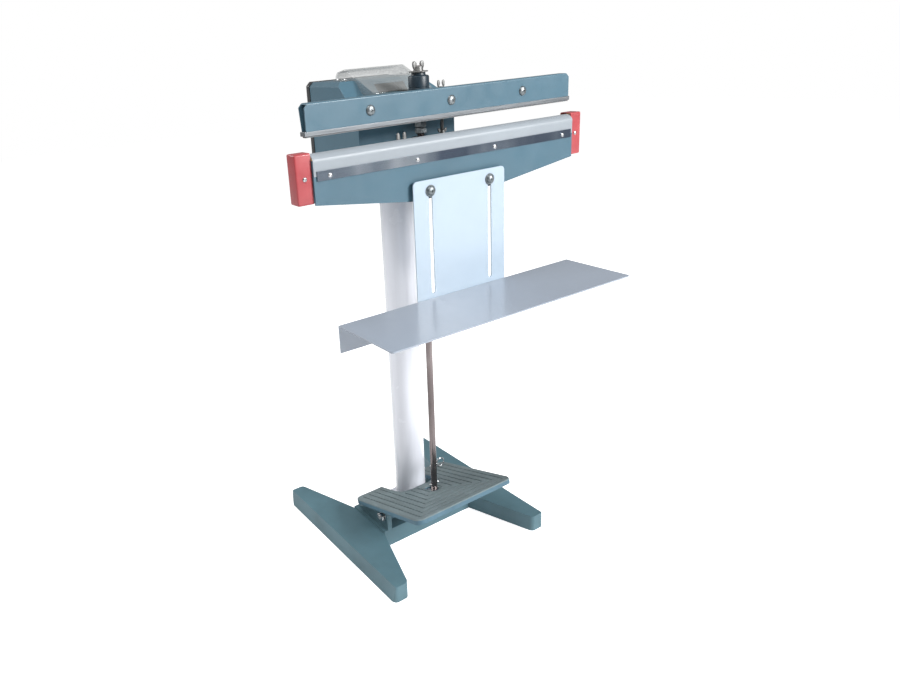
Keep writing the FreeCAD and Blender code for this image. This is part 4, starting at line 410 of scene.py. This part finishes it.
def coated_cloth():
    """Slippery coated glass cloth: fine square weave under a satin film."""
    finish = Finish("coated_cloth", sheen_weight=0.1, coat_weight=0.12, coat_roughness=0.4)
    weave = finish.weave(420.0)
    stain = finish.noise(18.0, 4.0, (0.3, 1.0, 1.0))
    film = (0.262, 0.294, 0.325)
    clean = finish.tint(weave, (0.1, shade(film, 0.94)), (0.9, shade(film, 1.03)))
    used = finish.tint(stain, (0.35, shade(film, 0.86)), (0.62, shade(film, 1.04)))
    finish.colour(finish.mix(finish.spread(stain, 0.2, 0.7), clean, used))
    finish.rough(weave, 0.40, 0.54)
    finish.bump(weave, 0.00006, 0.5)
    return finish.material


def silicone():
    """Matte grey silicone with a dusty bloom."""
    finish = Finish("silicone", subsurface_weight=0.05)
    bloom = finish.noise(60.0, 4.0)
    grey = (0.160, 0.170, 0.178)
    finish.colour(finish.tint(bloom, (0.3, shade(grey, 0.88)), (0.7, shade(grey, 1.1))))
    finish.rough(bloom, 0.55, 0.75)
    finish.bump(finish.noise(500.0, 3.0), 0.00008, 0.5)
    return finish.material


def anodised():
    """Grey anodised aluminium, drawn along its length."""
    finish = Finish("anodised", metallic=0.85)
    drawn = finish.noise(800.0, 3.0, (0.02, 1.0, 1.0))
    finish.colour(finish.tint(drawn, (0.3, (0.155, 0.168, 0.180)), (0.7, (0.21, 0.222, 0.235))))
    finish.rough(drawn, 0.35, 0.5)
    finish.bump(drawn, 0.00002, 0.4)
    return finish.material


PEDAL_TILT = radians(17.3)
PEDAL_TURN = Matrix.Rotation(PEDAL_TILT, 3, "X")


def tread_paint():
    """Pedal paint: blue-grey at the rim, scuffed grey over the ribbed tread, told apart by height."""
    finish = Finish("tread_paint", coat_weight=0.05)
    patches = finish.noise(16.0, 5.0)
    scuff = finish.noise(120.0, 4.0, (1.0, 0.35, 1.0))
    grain = finish.noise(1100.0, 3.0)
    grey = (0.150, 0.196, 0.208)
    worn = finish.tint(scuff, (0.3, shade(grey, 0.8)), (0.5, grey), (0.72, shade(grey, 1.35)))
    even = finish.tint(patches, (0.3, shade(grey, 0.9)), (0.7, shade(grey, 1.12)))
    rim = finish.tint(patches, (0.3, shade(BLUE_GREY, 1.05)), (0.7, shade(BLUE_GREY, 1.3)))
    level = finish.tree.nodes.new("ShaderNodeMapping")
    level.inputs["Location"].default_value = PEDAL_TURN @ Vector((0.0, -AXLE_Y, -AXLE_Z))
    level.inputs["Rotation"].default_value = (PEDAL_TILT, 0.0, 0.0)
    finish.link(finish.coordinates.outputs["Object"], level.inputs["Vector"])
    apart = finish.tree.nodes.new("ShaderNodeSeparateXYZ")
    finish.link(level.outputs["Vector"], apart.inputs["Vector"])
    tread = finish.mix(finish.spread(patches, 0.25, 0.7), even, worn)
    tread_height = 0.025
    above = finish.spread(apart.outputs["Z"], 0.0, 1.0, tread_height - 0.0005, tread_height + 0.0005)
    finish.colour(finish.mix(above, rim, tread))
    finish.rough(scuff, 0.5, 0.72)
    finish.bump(grain, 0.00022, 0.7)
    return finish.material


def plain_detail(name, colour, low, high, metallic=0.0):
    """Finish of the small pieces inside: colour and gloss varied by one cloud, with a fine grain."""
    finish = Finish(name, metallic=metallic)
    cloud = finish.noise(200.0, 3.0)
    finish.colour(finish.tint(cloud, (0.3, shade(colour, 0.85)), (0.7, shade(colour, 1.12))))
    finish.rough(cloud, low, high)
    finish.bump(finish.noise(800.0, 2.0), 0.00005, 0.5)
    return finish.material


def wear(material, *names):
    """Give CAD nodes a finish."""
    for name in names:
        mesh = nodes[name].data
        if not mesh.materials:
            mesh.materials.append(material)
        for index in range(len(mesh.materials)):
            nodes[name].material_slots[index].link = "OBJECT"
            nodes[name].material_slots[index].material = material


# Building blocks for the pieces
FACING = {"+Z": Matrix(), "-Z": Matrix.Rotation(pi, 4, "X"), "-Y": Matrix.Rotation(pi / 2, 4, "X"),
          "+Y": Matrix.Rotation(-pi / 2, 4, "X"), "+X": Matrix.Rotation(pi / 2, 4, "Y"),
          "-X": Matrix.Rotation(-pi / 2, 4, "Y")}


def add_part(mesh, part, stand=None):
    """Move a finished part into place and add it to a piece's mesh."""
    if stand is not None:
        bmesh.ops.transform(part, matrix=stand, verts=part.verts)
    carried = bpy.data.meshes.new("part")
    part.to_mesh(carried)
    part.free()
    mesh.from_mesh(carried)
    bpy.data.meshes.remove(carried)


def turned(outline, steps):
    """Turn an outline of (radius, height) points; one that starts off the axis is a ring."""
    part = bmesh.new()
    points = [part.verts.new((radius, 0.0, height)) for radius, height in outline]
    edges = [part.edges.new(pair) for pair in zip(points, points[1:])]
    if outline[0][0] > 0.0:
        edges.append(part.edges.new((points[-1], points[0])))
    bmesh.ops.spin(part, geom=points + edges, axis=(0, 0, 1), angle=2 * pi, steps=steps, use_merge=True)
    bmesh.ops.remove_doubles(part, verts=part.verts, dist=1e-6)
    return part


def lathe(mesh, outline, place, facing="+Z", steps=32):
    """Add a turned shape, standing at a place and facing a way."""
    add_part(mesh, turned(outline, steps), Matrix.Translation(place) @ FACING[facing])


def domed_head(mesh, place, radius, height, facing="-Y", socket=0.36):
    """Button head with a cross recess, standing on a face."""
    angles = [step * pi / 12 for step in range(5)]
    sag = [(radius * cos(angle), height * (0.12 + 0.88 * sin(angle))) for angle in angles]
    well = radius * socket
    outline = [(0.0, height * 0.35), (well * 0.9, height * 0.4), (well, height * 0.98), *reversed(sag),
               (radius, 0.0), (0.0, 0.0)]
    part = turned(outline, 32)
    for point in part.verts:
        reach = point.co.xy.length
        if 1e-6 < reach < well * 1.01:
            way = 2.0 * Vector((1.0, 0.0)).angle_signed(point.co.xy)
            point.co.xy *= 0.42 + 0.58 * abs(cos(way)) ** 3
    add_part(mesh, part, Matrix.Translation(place) @ FACING[facing])


def hex_nut(mesh, place, radius, height, facing, bore):
    """Hexagon with chamfered corners and a bore."""
    flat = radius * 0.86
    outline = [(bore, 0.0), (bore, height), (flat * 0.96, height), (radius, height * 0.84),
               (radius, height * 0.16), (flat * 0.96, 0.0)]
    lathe(mesh, outline, place, facing, steps=6)


def washer(mesh, place, radius, bore, thickness, facing):
    edge = thickness * 0.25
    outline = [(bore, thickness), (radius - edge, thickness), (radius, thickness - edge),
               (radius, 0.0), (bore, 0.0)]
    lathe(mesh, outline, place, facing, steps=40)


def threaded(low, high, radius, pitch, depth):
    """Outline points of a thread's crests and roots between two heights."""
    turns = int((high - low) / pitch)
    points = []
    for index in range(turns):
        start = low + index * pitch
        points += [(radius - depth, start), (radius, start + pitch * 0.4), (radius, start + pitch * 0.6)]
    return points


def round_edges(part, edges, radius, segments):
    bmesh.ops.bevel(part, geom=edges, offset=radius, offset_type="OFFSET", segments=segments, profile=0.5,
                    affect="EDGES", material=-1, clamp_overlap=True)


def rounded_block(mesh, low, high, radius, segments=3):
    """Box between two corners with rounded edges."""
    part = bmesh.new()
    bmesh.ops.create_cube(part, size=1.0)
    size = Vector(high) - Vector(low)
    place = (Vector(high) + Vector(low)) / 2
    stand = Matrix.Translation(place) @ Matrix.Diagonal((*size, 1.0))
    bmesh.ops.transform(part, matrix=stand, verts=part.verts)
    round_edges(part, part.edges[:], radius, segments)
    add_part(mesh, part)


def open_shell(mesh, part, mouths, radius, segments, wall):
    """Take the mouth faces off a closed part, round its other edges and give it a wall inwards."""
    rim = {edge for face in mouths for edge in face.edges}
    bmesh.ops.delete(part, geom=mouths, context="FACES_ONLY")
    round_edges(part, [edge for edge in part.edges if edge not in rim], radius, segments)
    bmesh.ops.recalc_face_normals(part, faces=part.faces)
    bmesh.ops.solidify(part, geom=part.faces[:], thickness=wall)
    add_part(mesh, part)


def raised(outline, low, high, plane="XZ"):
    """Raise a flat outline into a plate between two depths."""
    seats = {"XZ": lambda a, b: (a, low, b), "YZ": lambda a, b: (low, a, b)}
    ways = {"XZ": (0, high - low, 0), "YZ": (high - low, 0, 0)}
    part = bmesh.new()
    face = part.faces.new([part.verts.new(seats[plane](a, b)) for a, b in outline])
    grown = bmesh.ops.extrude_face_region(part, geom=[face])["geom"]
    tops = [piece for piece in grown if isinstance(piece, bmesh.types.BMVert)]
    bmesh.ops.translate(part, vec=ways[plane], verts=tops)
    bmesh.ops.recalc_face_normals(part, faces=part.faces)
    return part


def slab(mesh, outline, low, high, plane="XZ", edge=0.0, segments=2):
    """Add a plate raised from an outline, its rims softened."""
    part = raised(outline, low, high, plane)
    if edge:
        round_edges(part, part.edges[:], edge, segments)
    add_part(mesh, part)


def fit_piece(mesh, name, material, body, slot, *stands_for, crease=35.0):
    """Close a piece's mesh, give it its finish, and put it on its body."""
    bmesh.ops.recalc_face_normals(mesh, faces=mesh.faces)
    for face in mesh.faces:
        face.smooth = True
    for edge in mesh.edges:
        edge.smooth = len(edge.link_faces) == 2 and edge.calc_face_angle(0.0) < radians(crease)
    data = bpy.data.meshes.new(name)
    mesh.to_mesh(data)
    mesh.free()
    data.materials.append(material)
    piece = bpy.data.objects.new(name, data)
    bpy.context.scene.collection.objects.link(piece)
    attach(piece, body)
    if stands_for:
        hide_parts(*stands_for)
    return piece


def soften(width, *names):
    """Round the arrises of CAD nodes: join their loose corners, then bevel what is sharp."""
    for name in names:
        joined = nodes[name].modifiers.new("joined", "WELD")
        joined.merge_threshold = 0.00002
        arris = nodes[name].modifiers.new("soft_arris", "BEVEL")
        arris.width = width
        arris.segments = 2
        arris.limit_method = "ANGLE"
        arris.angle_limit = radians(40.0)
        arris.harden_normals = True


# Fabric over the lower jaw
def fabric_strip(material):
    """One stretched strip of coated cloth from clamp to clamp, faintly rippled between the screws."""
    low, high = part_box("jaw_cloth")
    middle = (low.y + high.y) / 2
    reach = (high.y - low.y) / 2 - 0.0004
    crown = high.z - 0.0004
    radius = 0.0145
    start = math.asin(reach / radius)
    arc = [(middle + radius * sin(a), crown - radius + radius * cos(a))
           for a in (start * step / 9 for step in range(-9, 10))]
    drop = arc[0][1] - low.z
    front = [(middle - reach, low.z + drop * step / 6) for step in range(6)]
    back = [(middle + reach, low.z + drop * (5 - step) / 6) for step in range(6)]
    section = [*front, *arc, *back]
    mesh = bmesh.new()
    points = [mesh.verts.new((low.x, y, z)) for y, z in section]
    edges = [mesh.edges.new(pair) for pair in zip(points, points[1:])]
    steps = 96
    for _ in range(steps):
        grown = bmesh.ops.extrude_edge_only(mesh, edges=edges)["geom"]
        edges = [part for part in grown if isinstance(part, bmesh.types.BMEdge)]
        moved = [part for part in grown if isinstance(part, bmesh.types.BMVert)]
        bmesh.ops.translate(mesh, vec=((high.x - low.x) / steps, 0.0, 0.0), verts=moved)
    for point in mesh.verts:
        slow = 0.00014 * sin(point.co.x * 61.0) * sin(point.co.x * 23.0 + 1.0)
        ripple = slow + 0.00006 * sin(point.co.x * 310.0)
        share = 1.0 if point.co.z > low.z + drop else (point.co.z - low.z) / drop
        point.co.y += (-1 if point.co.y < middle else 1) * ripple * share
    piece = fit_piece(mesh, "fabric_strip", material, "base", "cloth", "jaw_cloth")
    wall = piece.modifiers.new("cloth_thickness", "SOLIDIFY")
    wall.thickness = 0.0003
    wall.offset = 0.0


def silicone_strip(material):
    """Pressing strip: a tongue that sits in the holder and a softly crowned working face."""
    low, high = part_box("pressing_pad")
    middle = (low.y + high.y) / 2
    half = (high.y - low.y) / 2
    crown = [(middle + half * cos(a), low.z + 0.0013 * (1 - sin(a)) ** 1.5)
             for a in (pi * step / 10 for step in range(11))]
    front, back, shoulder, inset = middle - half, middle + half, low.z + 0.0017, 0.0016
    outline = [(front, shoulder), (front + inset, shoulder), (front + inset, high.z),
               (back - inset, high.z), (back - inset, shoulder), (back, shoulder), *crown[:-1]]
    mesh = bmesh.new()
    slab(mesh, outline, low.x, high.x, "YZ")
    fit_piece(mesh, "silicone_strip", material, "pressing_jaw", "pad_silicone", "pressing_pad")


def end_cap(name, side, material):
    """Moulded cap: rounded outside and hollow towards the jaw."""
    low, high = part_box(name)
    outline = [(low.y, low.z), (high.y, low.z), (high.y, high.z), (low.y, high.z)]
    part = raised(outline, low.x, high.x, "YZ")
    mouth = [face for face in part.faces if face.normal.x * side < -0.5]
    mesh = bmesh.new()
    open_shell(mesh, part, mouth, 0.0024, 4, 0.0012)
    fit_piece(mesh, name + "_moulding", material, "base", "red_moulding", name)


def clear_cover(material):
    """Thin clear moulding with rounded brow and sides, and a flat foot each side."""
    low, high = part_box("clear_hood")
    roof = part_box("head_housing")[1].z
    left, right = low.x + 0.011, high.x - 0.011
    outline = [(high.y, roof), (high.y, roof + 0.0059), (high.y - 0.0055, roof + 0.0136),
               (high.y - 0.030, high.z), (high.y - 0.034, high.z), (low.y, roof - 0.0185),
               (low.y, low.z), (0.012, roof)]
    part = raised(outline, left, right, "YZ")
    under = [face for face in part.faces if face.normal.z < -0.2]
    mesh = bmesh.new()
    open_shell(mesh, part, under, 0.006, 5, 0.0018)
    for start, end in ((low.x, left + 0.001), (right - 0.001, high.x)):
        rounded_block(mesh, (start, 0.024, roof), (end, 0.062, roof + 0.002), 0.0006)
    fit_piece(mesh, "clear_cover", material, "base", "clear_plastic", "clear_hood")


# Screws, nuts and the pull rod
def jaw_fasteners(material):
    """Three bolts in the face of the upper jaw, the middle one longer."""
    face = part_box("upper_jaw")[0].y
    mesh = bmesh.new()
    for x, edge, tip in ((-0.1485, -0.010, -0.010), (0.0, -0.0215, -0.022), (0.1485, -0.010, -0.010)):
        place = (x, face, 0.8365)
        domed_head(mesh, place, 0.0075, 0.0036)
        lathe(mesh, [(0.0, 0.0), (0.004, 0.0), (0.004, edge), (0.0, tip)], place, "-Y", 24)
    fit_piece(mesh, "jaw_bolt_set", material, "pressing_jaw", "bright_steel", "jaw_bolts")


def strip_fasteners(material):
    """Four screws through both clamp strips with nuts behind, and a screw in front of each end cap."""
    mesh = bmesh.new()
    front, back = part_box("front_clamp_strip")[0].y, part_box("rear_clamp_strip")[1].y
    screw_z, outer_x = 0.7575, 0.2304
    thread = [(radius, -depth) for radius, depth in threaded(0.022, 0.0325, 0.002, 0.0008, 0.0003)]
    shank = [(0.0, 0.0), (0.002, 0.0), *thread, (0.0, -0.033)]
    for index in range(4):
        x = (index - 1.5) / 1.5 * outer_x
        domed_head(mesh, (x, front, screw_z), 0.0036, 0.0018)
        lathe(mesh, shank, (x, front, screw_z), "-Y", 16)
        hex_nut(mesh, (x, back, screw_z), 0.004, 0.003, "+Y", 0.002)
    for side in (-1, 1):
        domed_head(mesh, (side * 0.268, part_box("left_end_cap")[0].y, 0.756), 0.0034, 0.0018)
    fit_piece(mesh, "jaw_screw_set", material, "base", "bright_steel", "jaw_screws")


def shelf_fasteners(material):
    """Two bolts in the slots of the shelf's plate, with washers in front and hexagonal spacers behind."""
    mesh = bmesh.new()
    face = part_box("slotted_plate")[0].y - 0.0003
    bolt_z, thickness = 0.709, 0.0014
    for x in (-0.060, 0.060):
        place = (x, face - thickness, bolt_z)
        washer(mesh, (x, face, bolt_z), 0.009, 0.003, thickness, "-Y")
        domed_head(mesh, place, 0.0074, 0.004, socket=0.30)
        lathe(mesh, [(0.0, 0.0), (0.003, 0.0), (0.003, -0.0158), (0.0, -0.016)], place, "-Y", 20)
        hex_nut(mesh, (x, -0.1742, bolt_z), 0.0064, 0.0052, "+Y", 0.003)
    fit_piece(mesh, "shelf_bolt_set", material, "base", "bright_steel", "shelf_bolts")


def foot_fasteners(material):
    """The pedal's axle, with a washer and a nut at each end."""
    bore = 0.00502
    mesh = bmesh.new()
    for side, way in ((-1, "-X"), (1, "+X")):
        washer(mesh, (side * 0.098, AXLE_Y, AXLE_Z), 0.010, bore, 0.0015, way)
        hex_nut(mesh, (side * 0.0995, AXLE_Y, AXLE_Z), 0.00875, 0.007, way, bore)
    fit_piece(mesh, "axle_nut_set", material, "base", "bright_steel", "axle_nuts")
    mesh = bmesh.new()
    half = [(0.0, 0.108), (0.0042, 0.108), (0.005, 0.1072)]
    outline = [(radius, -height) for radius, height in half] + half[::-1]
    lathe(mesh, outline, (0.0, AXLE_Y, AXLE_Z), "+X", 32)
    fit_piece(mesh, "pedal_axle_bar", material, "base", "bright_steel", "pedal_axle")


def pull_rod(material, bright):
    """Drawn rod, threaded at the foot and from the jaw to just past its wing nut, and its stop nuts."""
    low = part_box("pull_rod")[0]
    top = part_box("wing_nut")[0].z + 0.0083
    radius, pitch, depth = 0.006, 0.00175, 0.0007
    foot_thread = threaded(low.z + 0.001, 0.112, radius, pitch, depth)
    smooth = [(radius, z) for z in (0.130, 0.300, 0.500, 0.700)]
    top_thread = threaded(0.765, top - 0.001, radius, pitch, depth)
    outline = [(0.0, low.z), (0.005, low.z), *foot_thread, *smooth, *top_thread, (0.0048, top), (0.0, top)]
    mesh = bmesh.new()
    lathe(mesh, outline, (0.0, ROD_Y, 0.0), steps=28)
    fit_piece(mesh, "threaded_rod", material, "rod_set", "bright_steel", "pull_rod")
    mesh = bmesh.new()
    low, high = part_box("rod_stop_nuts")
    bore, height, gap = 0.00605, 0.009, 0.0006
    washer(mesh, (0.0, ROD_Y, low.z), 0.014, bore, 0.0016, "+Z")
    for index in range(2):
        seat = high.z - height * (2 - index) - gap * (1 - index)
        hex_nut(mesh, (0.0, ROD_Y, seat), 0.0104, height, "+Z", bore)
    fit_piece(mesh, "stop_nut_set", bright, "rod_set", "bright_steel", "rod_stop_nuts")


def coil_spring(material):
    """Return spring round the rod, up against its washer."""
    low, high = 0.7371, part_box("rod_stop_nuts")[0].z - 0.0001
    wire, reach, turns, steps = 0.0011, 0.0090, 6, 168
    mesh = bmesh.new()
    bmesh.ops.create_circle(mesh, cap_ends=False, segments=12, radius=wire)
    stand = Matrix.Translation((reach, ROD_Y, low + wire)) @ Matrix.Rotation(pi / 2, 4, "X")
    bmesh.ops.transform(mesh, matrix=stand, verts=mesh.verts)
    bmesh.ops.spin(mesh, geom=mesh.verts[:] + mesh.edges[:], cent=(0.0, ROD_Y, 0.0), axis=(0, 0, 1),
                   dvec=(0, 0, (high - low - 2 * wire) / steps), angle=2 * pi * turns, steps=steps)
    bmesh.ops.remove_doubles(mesh, verts=mesh.verts, dist=1e-6)
    bmesh.ops.holes_fill(mesh, edges=[edge for edge in mesh.edges if edge.is_boundary], sides=0)
    piece = fit_piece(mesh, "coil_spring", material, "rod_set", "bright_steel", "return_spring",
                      crease=60.0)
    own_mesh(piece)


def wing_pair(mesh, x, y, base, spread, rise, thickness):
    """Two broad rounded wings that stand beside a screw's axis, spread and rise times the drawn size."""
    wing = [(0.0058, 0.0018), (0.0088, 0.0026), (0.0106, 0.0066), (0.0110, 0.0106), (0.0104, 0.0136),
            (0.0088, 0.0149), (0.0064, 0.0149), (0.0044, 0.0134), (0.0034, 0.0108), (0.0036, 0.0092),
            (0.0058, 0.0068)]
    for side in (-1, 1):
        outline = [(x + side * across * spread, base + up * rise) for across, up in wing]
        slab(mesh, outline, y - thickness / 2, y + thickness / 2, "XZ", 0.0008, 3)


def thumb_screw(material):
    """Switch adjuster: threaded stem, small hub and two rounded wings."""
    low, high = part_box("adjuster_screw")
    x, y = (low.x + high.x) / 2, (low.y + high.y) / 2
    hub = high.z - 0.015
    stem = threaded(low.z + 0.001, hub - 0.002, 0.003, 0.001, 0.0004)
    outline = [(0.0, low.z), (0.0022, low.z), *stem, (0.0030, hub), (0.0046, hub),
               (0.0046, hub + 0.0016), (0.0038, hub + 0.007), (0.0, hub + 0.0074)]
    mesh = bmesh.new()
    lathe(mesh, outline, (x, y, 0.0), steps=24)
    wing_pair(mesh, x, y, hub + 0.0016, 0.66, 1.06, 0.0026)
    fit_piece(mesh, "thumb_screw", material, "switch_adjuster", "bright_steel", "adjuster_screw")


def clamp_wing_nut(material):
    """Stud with a foot plate and a winged nut, behind the lower jaw, whose wings stand above the fabric."""
    low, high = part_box("cloth_wing_nut")
    x, axis = (low.x + high.x) / 2, 0.771
    mesh = bmesh.new()
    rounded_block(mesh, (low.x, low.y, low.z), (high.x, low.y + 0.002, 0.778), 0.0005, 2)
    thread = threaded(0.002, 0.0155, 0.0025, 0.0008, 0.0003)
    lathe(mesh, [(0.0, 0.001), (0.0025, 0.001), *thread, (0.0, 0.017)], (x, low.y, axis), "+Y", 24)
    hub = [(0.00255, 0.0070), (0.0046, 0.0070), (0.0046, 0.0100), (0.0038, 0.0122), (0.00255, 0.0122)]
    lathe(mesh, hub, (x, low.y, axis), "+Y", 32)
    for side in (-1, 1):
        left, right = sorted((x + side * 0.0030, x + side * 0.0056))
        rounded_block(mesh, (left, low.y + 0.0078, axis - 0.001), (right, low.y + 0.0102, axis + 0.006),
                      0.0006, 2)
    wing_pair(mesh, x, low.y + 0.009, axis - 0.003, 0.80, 1.88, 0.0024)
    fit_piece(mesh, "clamp_wing_nut", material, "base", "bright_steel", "cloth_wing_nut")


def pressure_knob(black, bright):
    """Black sleeve with turned grooves and a neck, under a washer and a cast wing nut."""
    low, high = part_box("pressure_sleeve")
    place = (0.0, ROD_Y, 0.0)
    ball_radius, ball_height = 0.0105, 0.852
    foot = [(0.0061, low.z)] + [(math.sqrt(ball_radius ** 2 - (ball_height - z) ** 2), z)
                                for z in (low.z, 0.8445, 0.8455, 0.8465, 0.8478, 0.849)]
    barrel = [(0.0158, 0.849), (0.0168, 0.850), (0.0168, 0.8535), (0.0163, 0.854), (0.0163, 0.8555),
              (0.0168, 0.856), (0.0168, 0.8705), (0.0160, 0.8722), (0.0140, 0.873), (0.0118, 0.8733),
              (0.0113, 0.8745), (0.0113, high.z - 0.0008), (0.0105, high.z), (0.0061, high.z)]
    mesh = bmesh.new()
    lathe(mesh, [*foot, *barrel], place, steps=48)
    fit_piece(mesh, "turned_sleeve", black, "rod_set", "black_moulding", "pressure_sleeve")
    mesh = bmesh.new()
    washer(mesh, (0.0, ROD_Y, high.z), 0.0155, 0.0061, 0.0016, "+Z")
    fit_piece(mesh, "broad_washer", bright, "rod_set", "bright_steel", "top_washer")
    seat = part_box("wing_nut")[0].z
    hub = [(0.00605, seat), (0.0082, seat), (0.0082, seat + 0.0012), (0.0076, seat + 0.0022),
           (0.0072, seat + 0.0068), (0.0066, seat + 0.0075), (0.00605, seat + 0.0075)]
    mesh = bmesh.new()
    lathe(mesh, hub, place, steps=32)
    wing_pair(mesh, 0.0, ROD_Y, seat, 1.0, 1.0, 0.0034)
    fit_piece(mesh, "cast_wing_nut", bright, "pressure_nut", "bright_steel", "wing_nut")


def cover_screws(material):
    """Four screws near the corners of the rear cover."""
    low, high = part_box("rear_cover")
    mesh = bmesh.new()
    for x, z in ((low.x + 0.014, low.z + 0.014), (high.x - 0.014, low.z + 0.014),
                 (low.x + 0.016, high.z - 0.016), (high.x - 0.040, high.z - 0.014)):
        domed_head(mesh, (x, high.y, z), 0.0038, 0.0022, "+Y")
    fit_piece(mesh, "cover_screw_set", material, "base", "bright_steel")


# Controls on the right wall
def scale_ring(ink):
    """Tick marks and plain numbers round the timer's knob."""
    mesh = bmesh.new()
    centre = Vector((0.0991, 0.052, 0.792))
    upright = Matrix(((0, 0, 1, 0), (1, 0, 0, 0), (0, 1, 0, 0), (0, 0, 0, 1)))
    for index in range(11):
        angle = radians(225 - 27 * index)
        out = Vector((0.0, cos(angle), sin(angle)))
        tick = bmesh.new()
        bmesh.ops.create_cube(tick, size=1.0)
        place = centre + out * 0.0175
        add_part(mesh, tick, Matrix.Translation(place) @ Matrix.Rotation(angle, 4, "X")
                 @ Matrix.Diagonal((0.0002, 0.003, 0.0006, 1.0)))
        if index % 2:
            continue
        words = bpy.data.curves.new("number", "FONT")
        words.body = str(index)
        words.size = 0.0052
        words.extrude = 0.00008
        words.align_x = "CENTER"
        words.align_y = "CENTER"
        writing = bpy.data.objects.new("number", words)
        bpy.context.scene.collection.objects.link(writing)
        flat = bpy.data.meshes.new_from_object(writing.evaluated_get(bpy.context.evaluated_depsgraph_get()))
        flat.transform(Matrix.Translation(centre + out * 0.0232) @ upright)
        mesh.from_mesh(flat)
        bpy.data.objects.remove(writing)
        bpy.data.meshes.remove(flat)
    bmesh.ops.remove_doubles(mesh, verts=mesh.verts, dist=1e-7)
    fit_piece(mesh, "timer_scale", ink, "base", "column_paint")


def knob_pointer(ink):
    """White line on the knob's face."""
    mesh = bmesh.new()
    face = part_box("timer_knob")[1].x
    rounded_block(mesh, (face - 0.0002, 0.0514, 0.7940), (face + 0.0003, 0.0526, 0.8018), 0.00012, 2)
    fit_piece(mesh, "knob_pointer", ink, "knob", "column_paint")


def dress():
    """Give every CAD node its finish, soften the big ones, and add the modelled pieces."""
    casting, folded, plated = cast_paint(), sheet_paint(), plated_steel()
    wear(casting, "left_foot", "right_foot", "base_bridge", "swing_arm", "hinge_bracket")
    wear(tread_paint(), "pedal")
    wear(folded, "head_housing", "column_head", "lower_jaw", "upper_jaw", "jaw_bracket")
    wear(column_enamel(), "column", "column_socket")
    wear(plated, "rod_foot_nuts", "rod_pins", "hinge_shaft", "shaft_collars", "leg_bolts",
         "socket_bolts", "hood_screws", "bracket_bolts", "shelf_rivets")
    zinc = cast_zinc()
    wear(zinc, "adjuster_lock")
    wear(drawn_bar(), "jaw_back_bar")
    wear(polished_strip(), "front_clamp_strip", "rear_clamp_strip")
    # One coating in two tints: the plate's brighter, bluer tint is painted light and reflection, and the
    # shelf's greyer tint is painted shade.
    wear(shelf_enamel("shelf_enamel_lit_plate", (0.39, 0.475, 0.56)), "slotted_plate")
    wear(shelf_enamel("shelf_enamel_shaded_shelf", (0.275, 0.315, 0.375)), "bag_shelf")
    wear(plain_detail("bush_bronze", (0.62, 0.42, 0.18), 0.25, 0.4, 1.0), "pedal_bushes", "arm_bushes")
    black = black_moulding()
    wear(black, "cord_gland", "timer_knob", "switch_bezel", "micro_switch")
    wear(black_enamel(), "rear_cover")
    red = red_moulding()
    wear(red, "power_rocker")
    wear(anodised(), "pad_holder")
    wear(plain_detail("laminate", (0.42, 0.33, 0.20), 0.5, 0.7), "jaw_insulator")
    wear(plain_detail("ribbon_metal", (0.55, 0.52, 0.48), 0.25, 0.4, 1.0), "heating_ribbon")
    wear(plain_detail("terminal_brass", (0.70, 0.52, 0.24), 0.22, 0.36, 1.0), "terminal_blocks")
    wear(plain_detail("varnished_iron", (0.06, 0.05, 0.05), 0.35, 0.5, 0.3), "transformer")
    wear(plain_detail("circuit_board", (0.04, 0.17, 0.08), 0.3, 0.5), "timer_board")
    soften(0.0007, "head_housing", "column_head", "lower_jaw", "jaw_bracket", "bag_shelf", "rear_cover",
           "pad_holder")
    soften(0.0014, "left_foot", "right_foot", "base_bridge", "pedal")
    fabric_strip(coated_cloth())
    silicone_strip(silicone())
    end_cap("left_end_cap", -1, red)
    end_cap("right_end_cap", 1, red)
    clear_cover(clear_moulding())
    dull = dull_plating()
    jaw_fasteners(dull)
    strip_fasteners(plated)
    shelf_fasteners(dull)
    cover_screws(dull)
    foot_fasteners(plated)
    pull_rod(oiled_rod(), dull)
    coil_spring(plated)
    thumb_screw(zinc)
    clamp_wing_nut(zinc)
    pressure_knob(sleeve_moulding(), zinc)
    ink = plain_detail("white_marking", (0.75, 0.76, 0.76), 0.4, 0.55)
    scale_ring(ink)
    knob_pointer(ink)


add_camera()
add_studio()
dress()
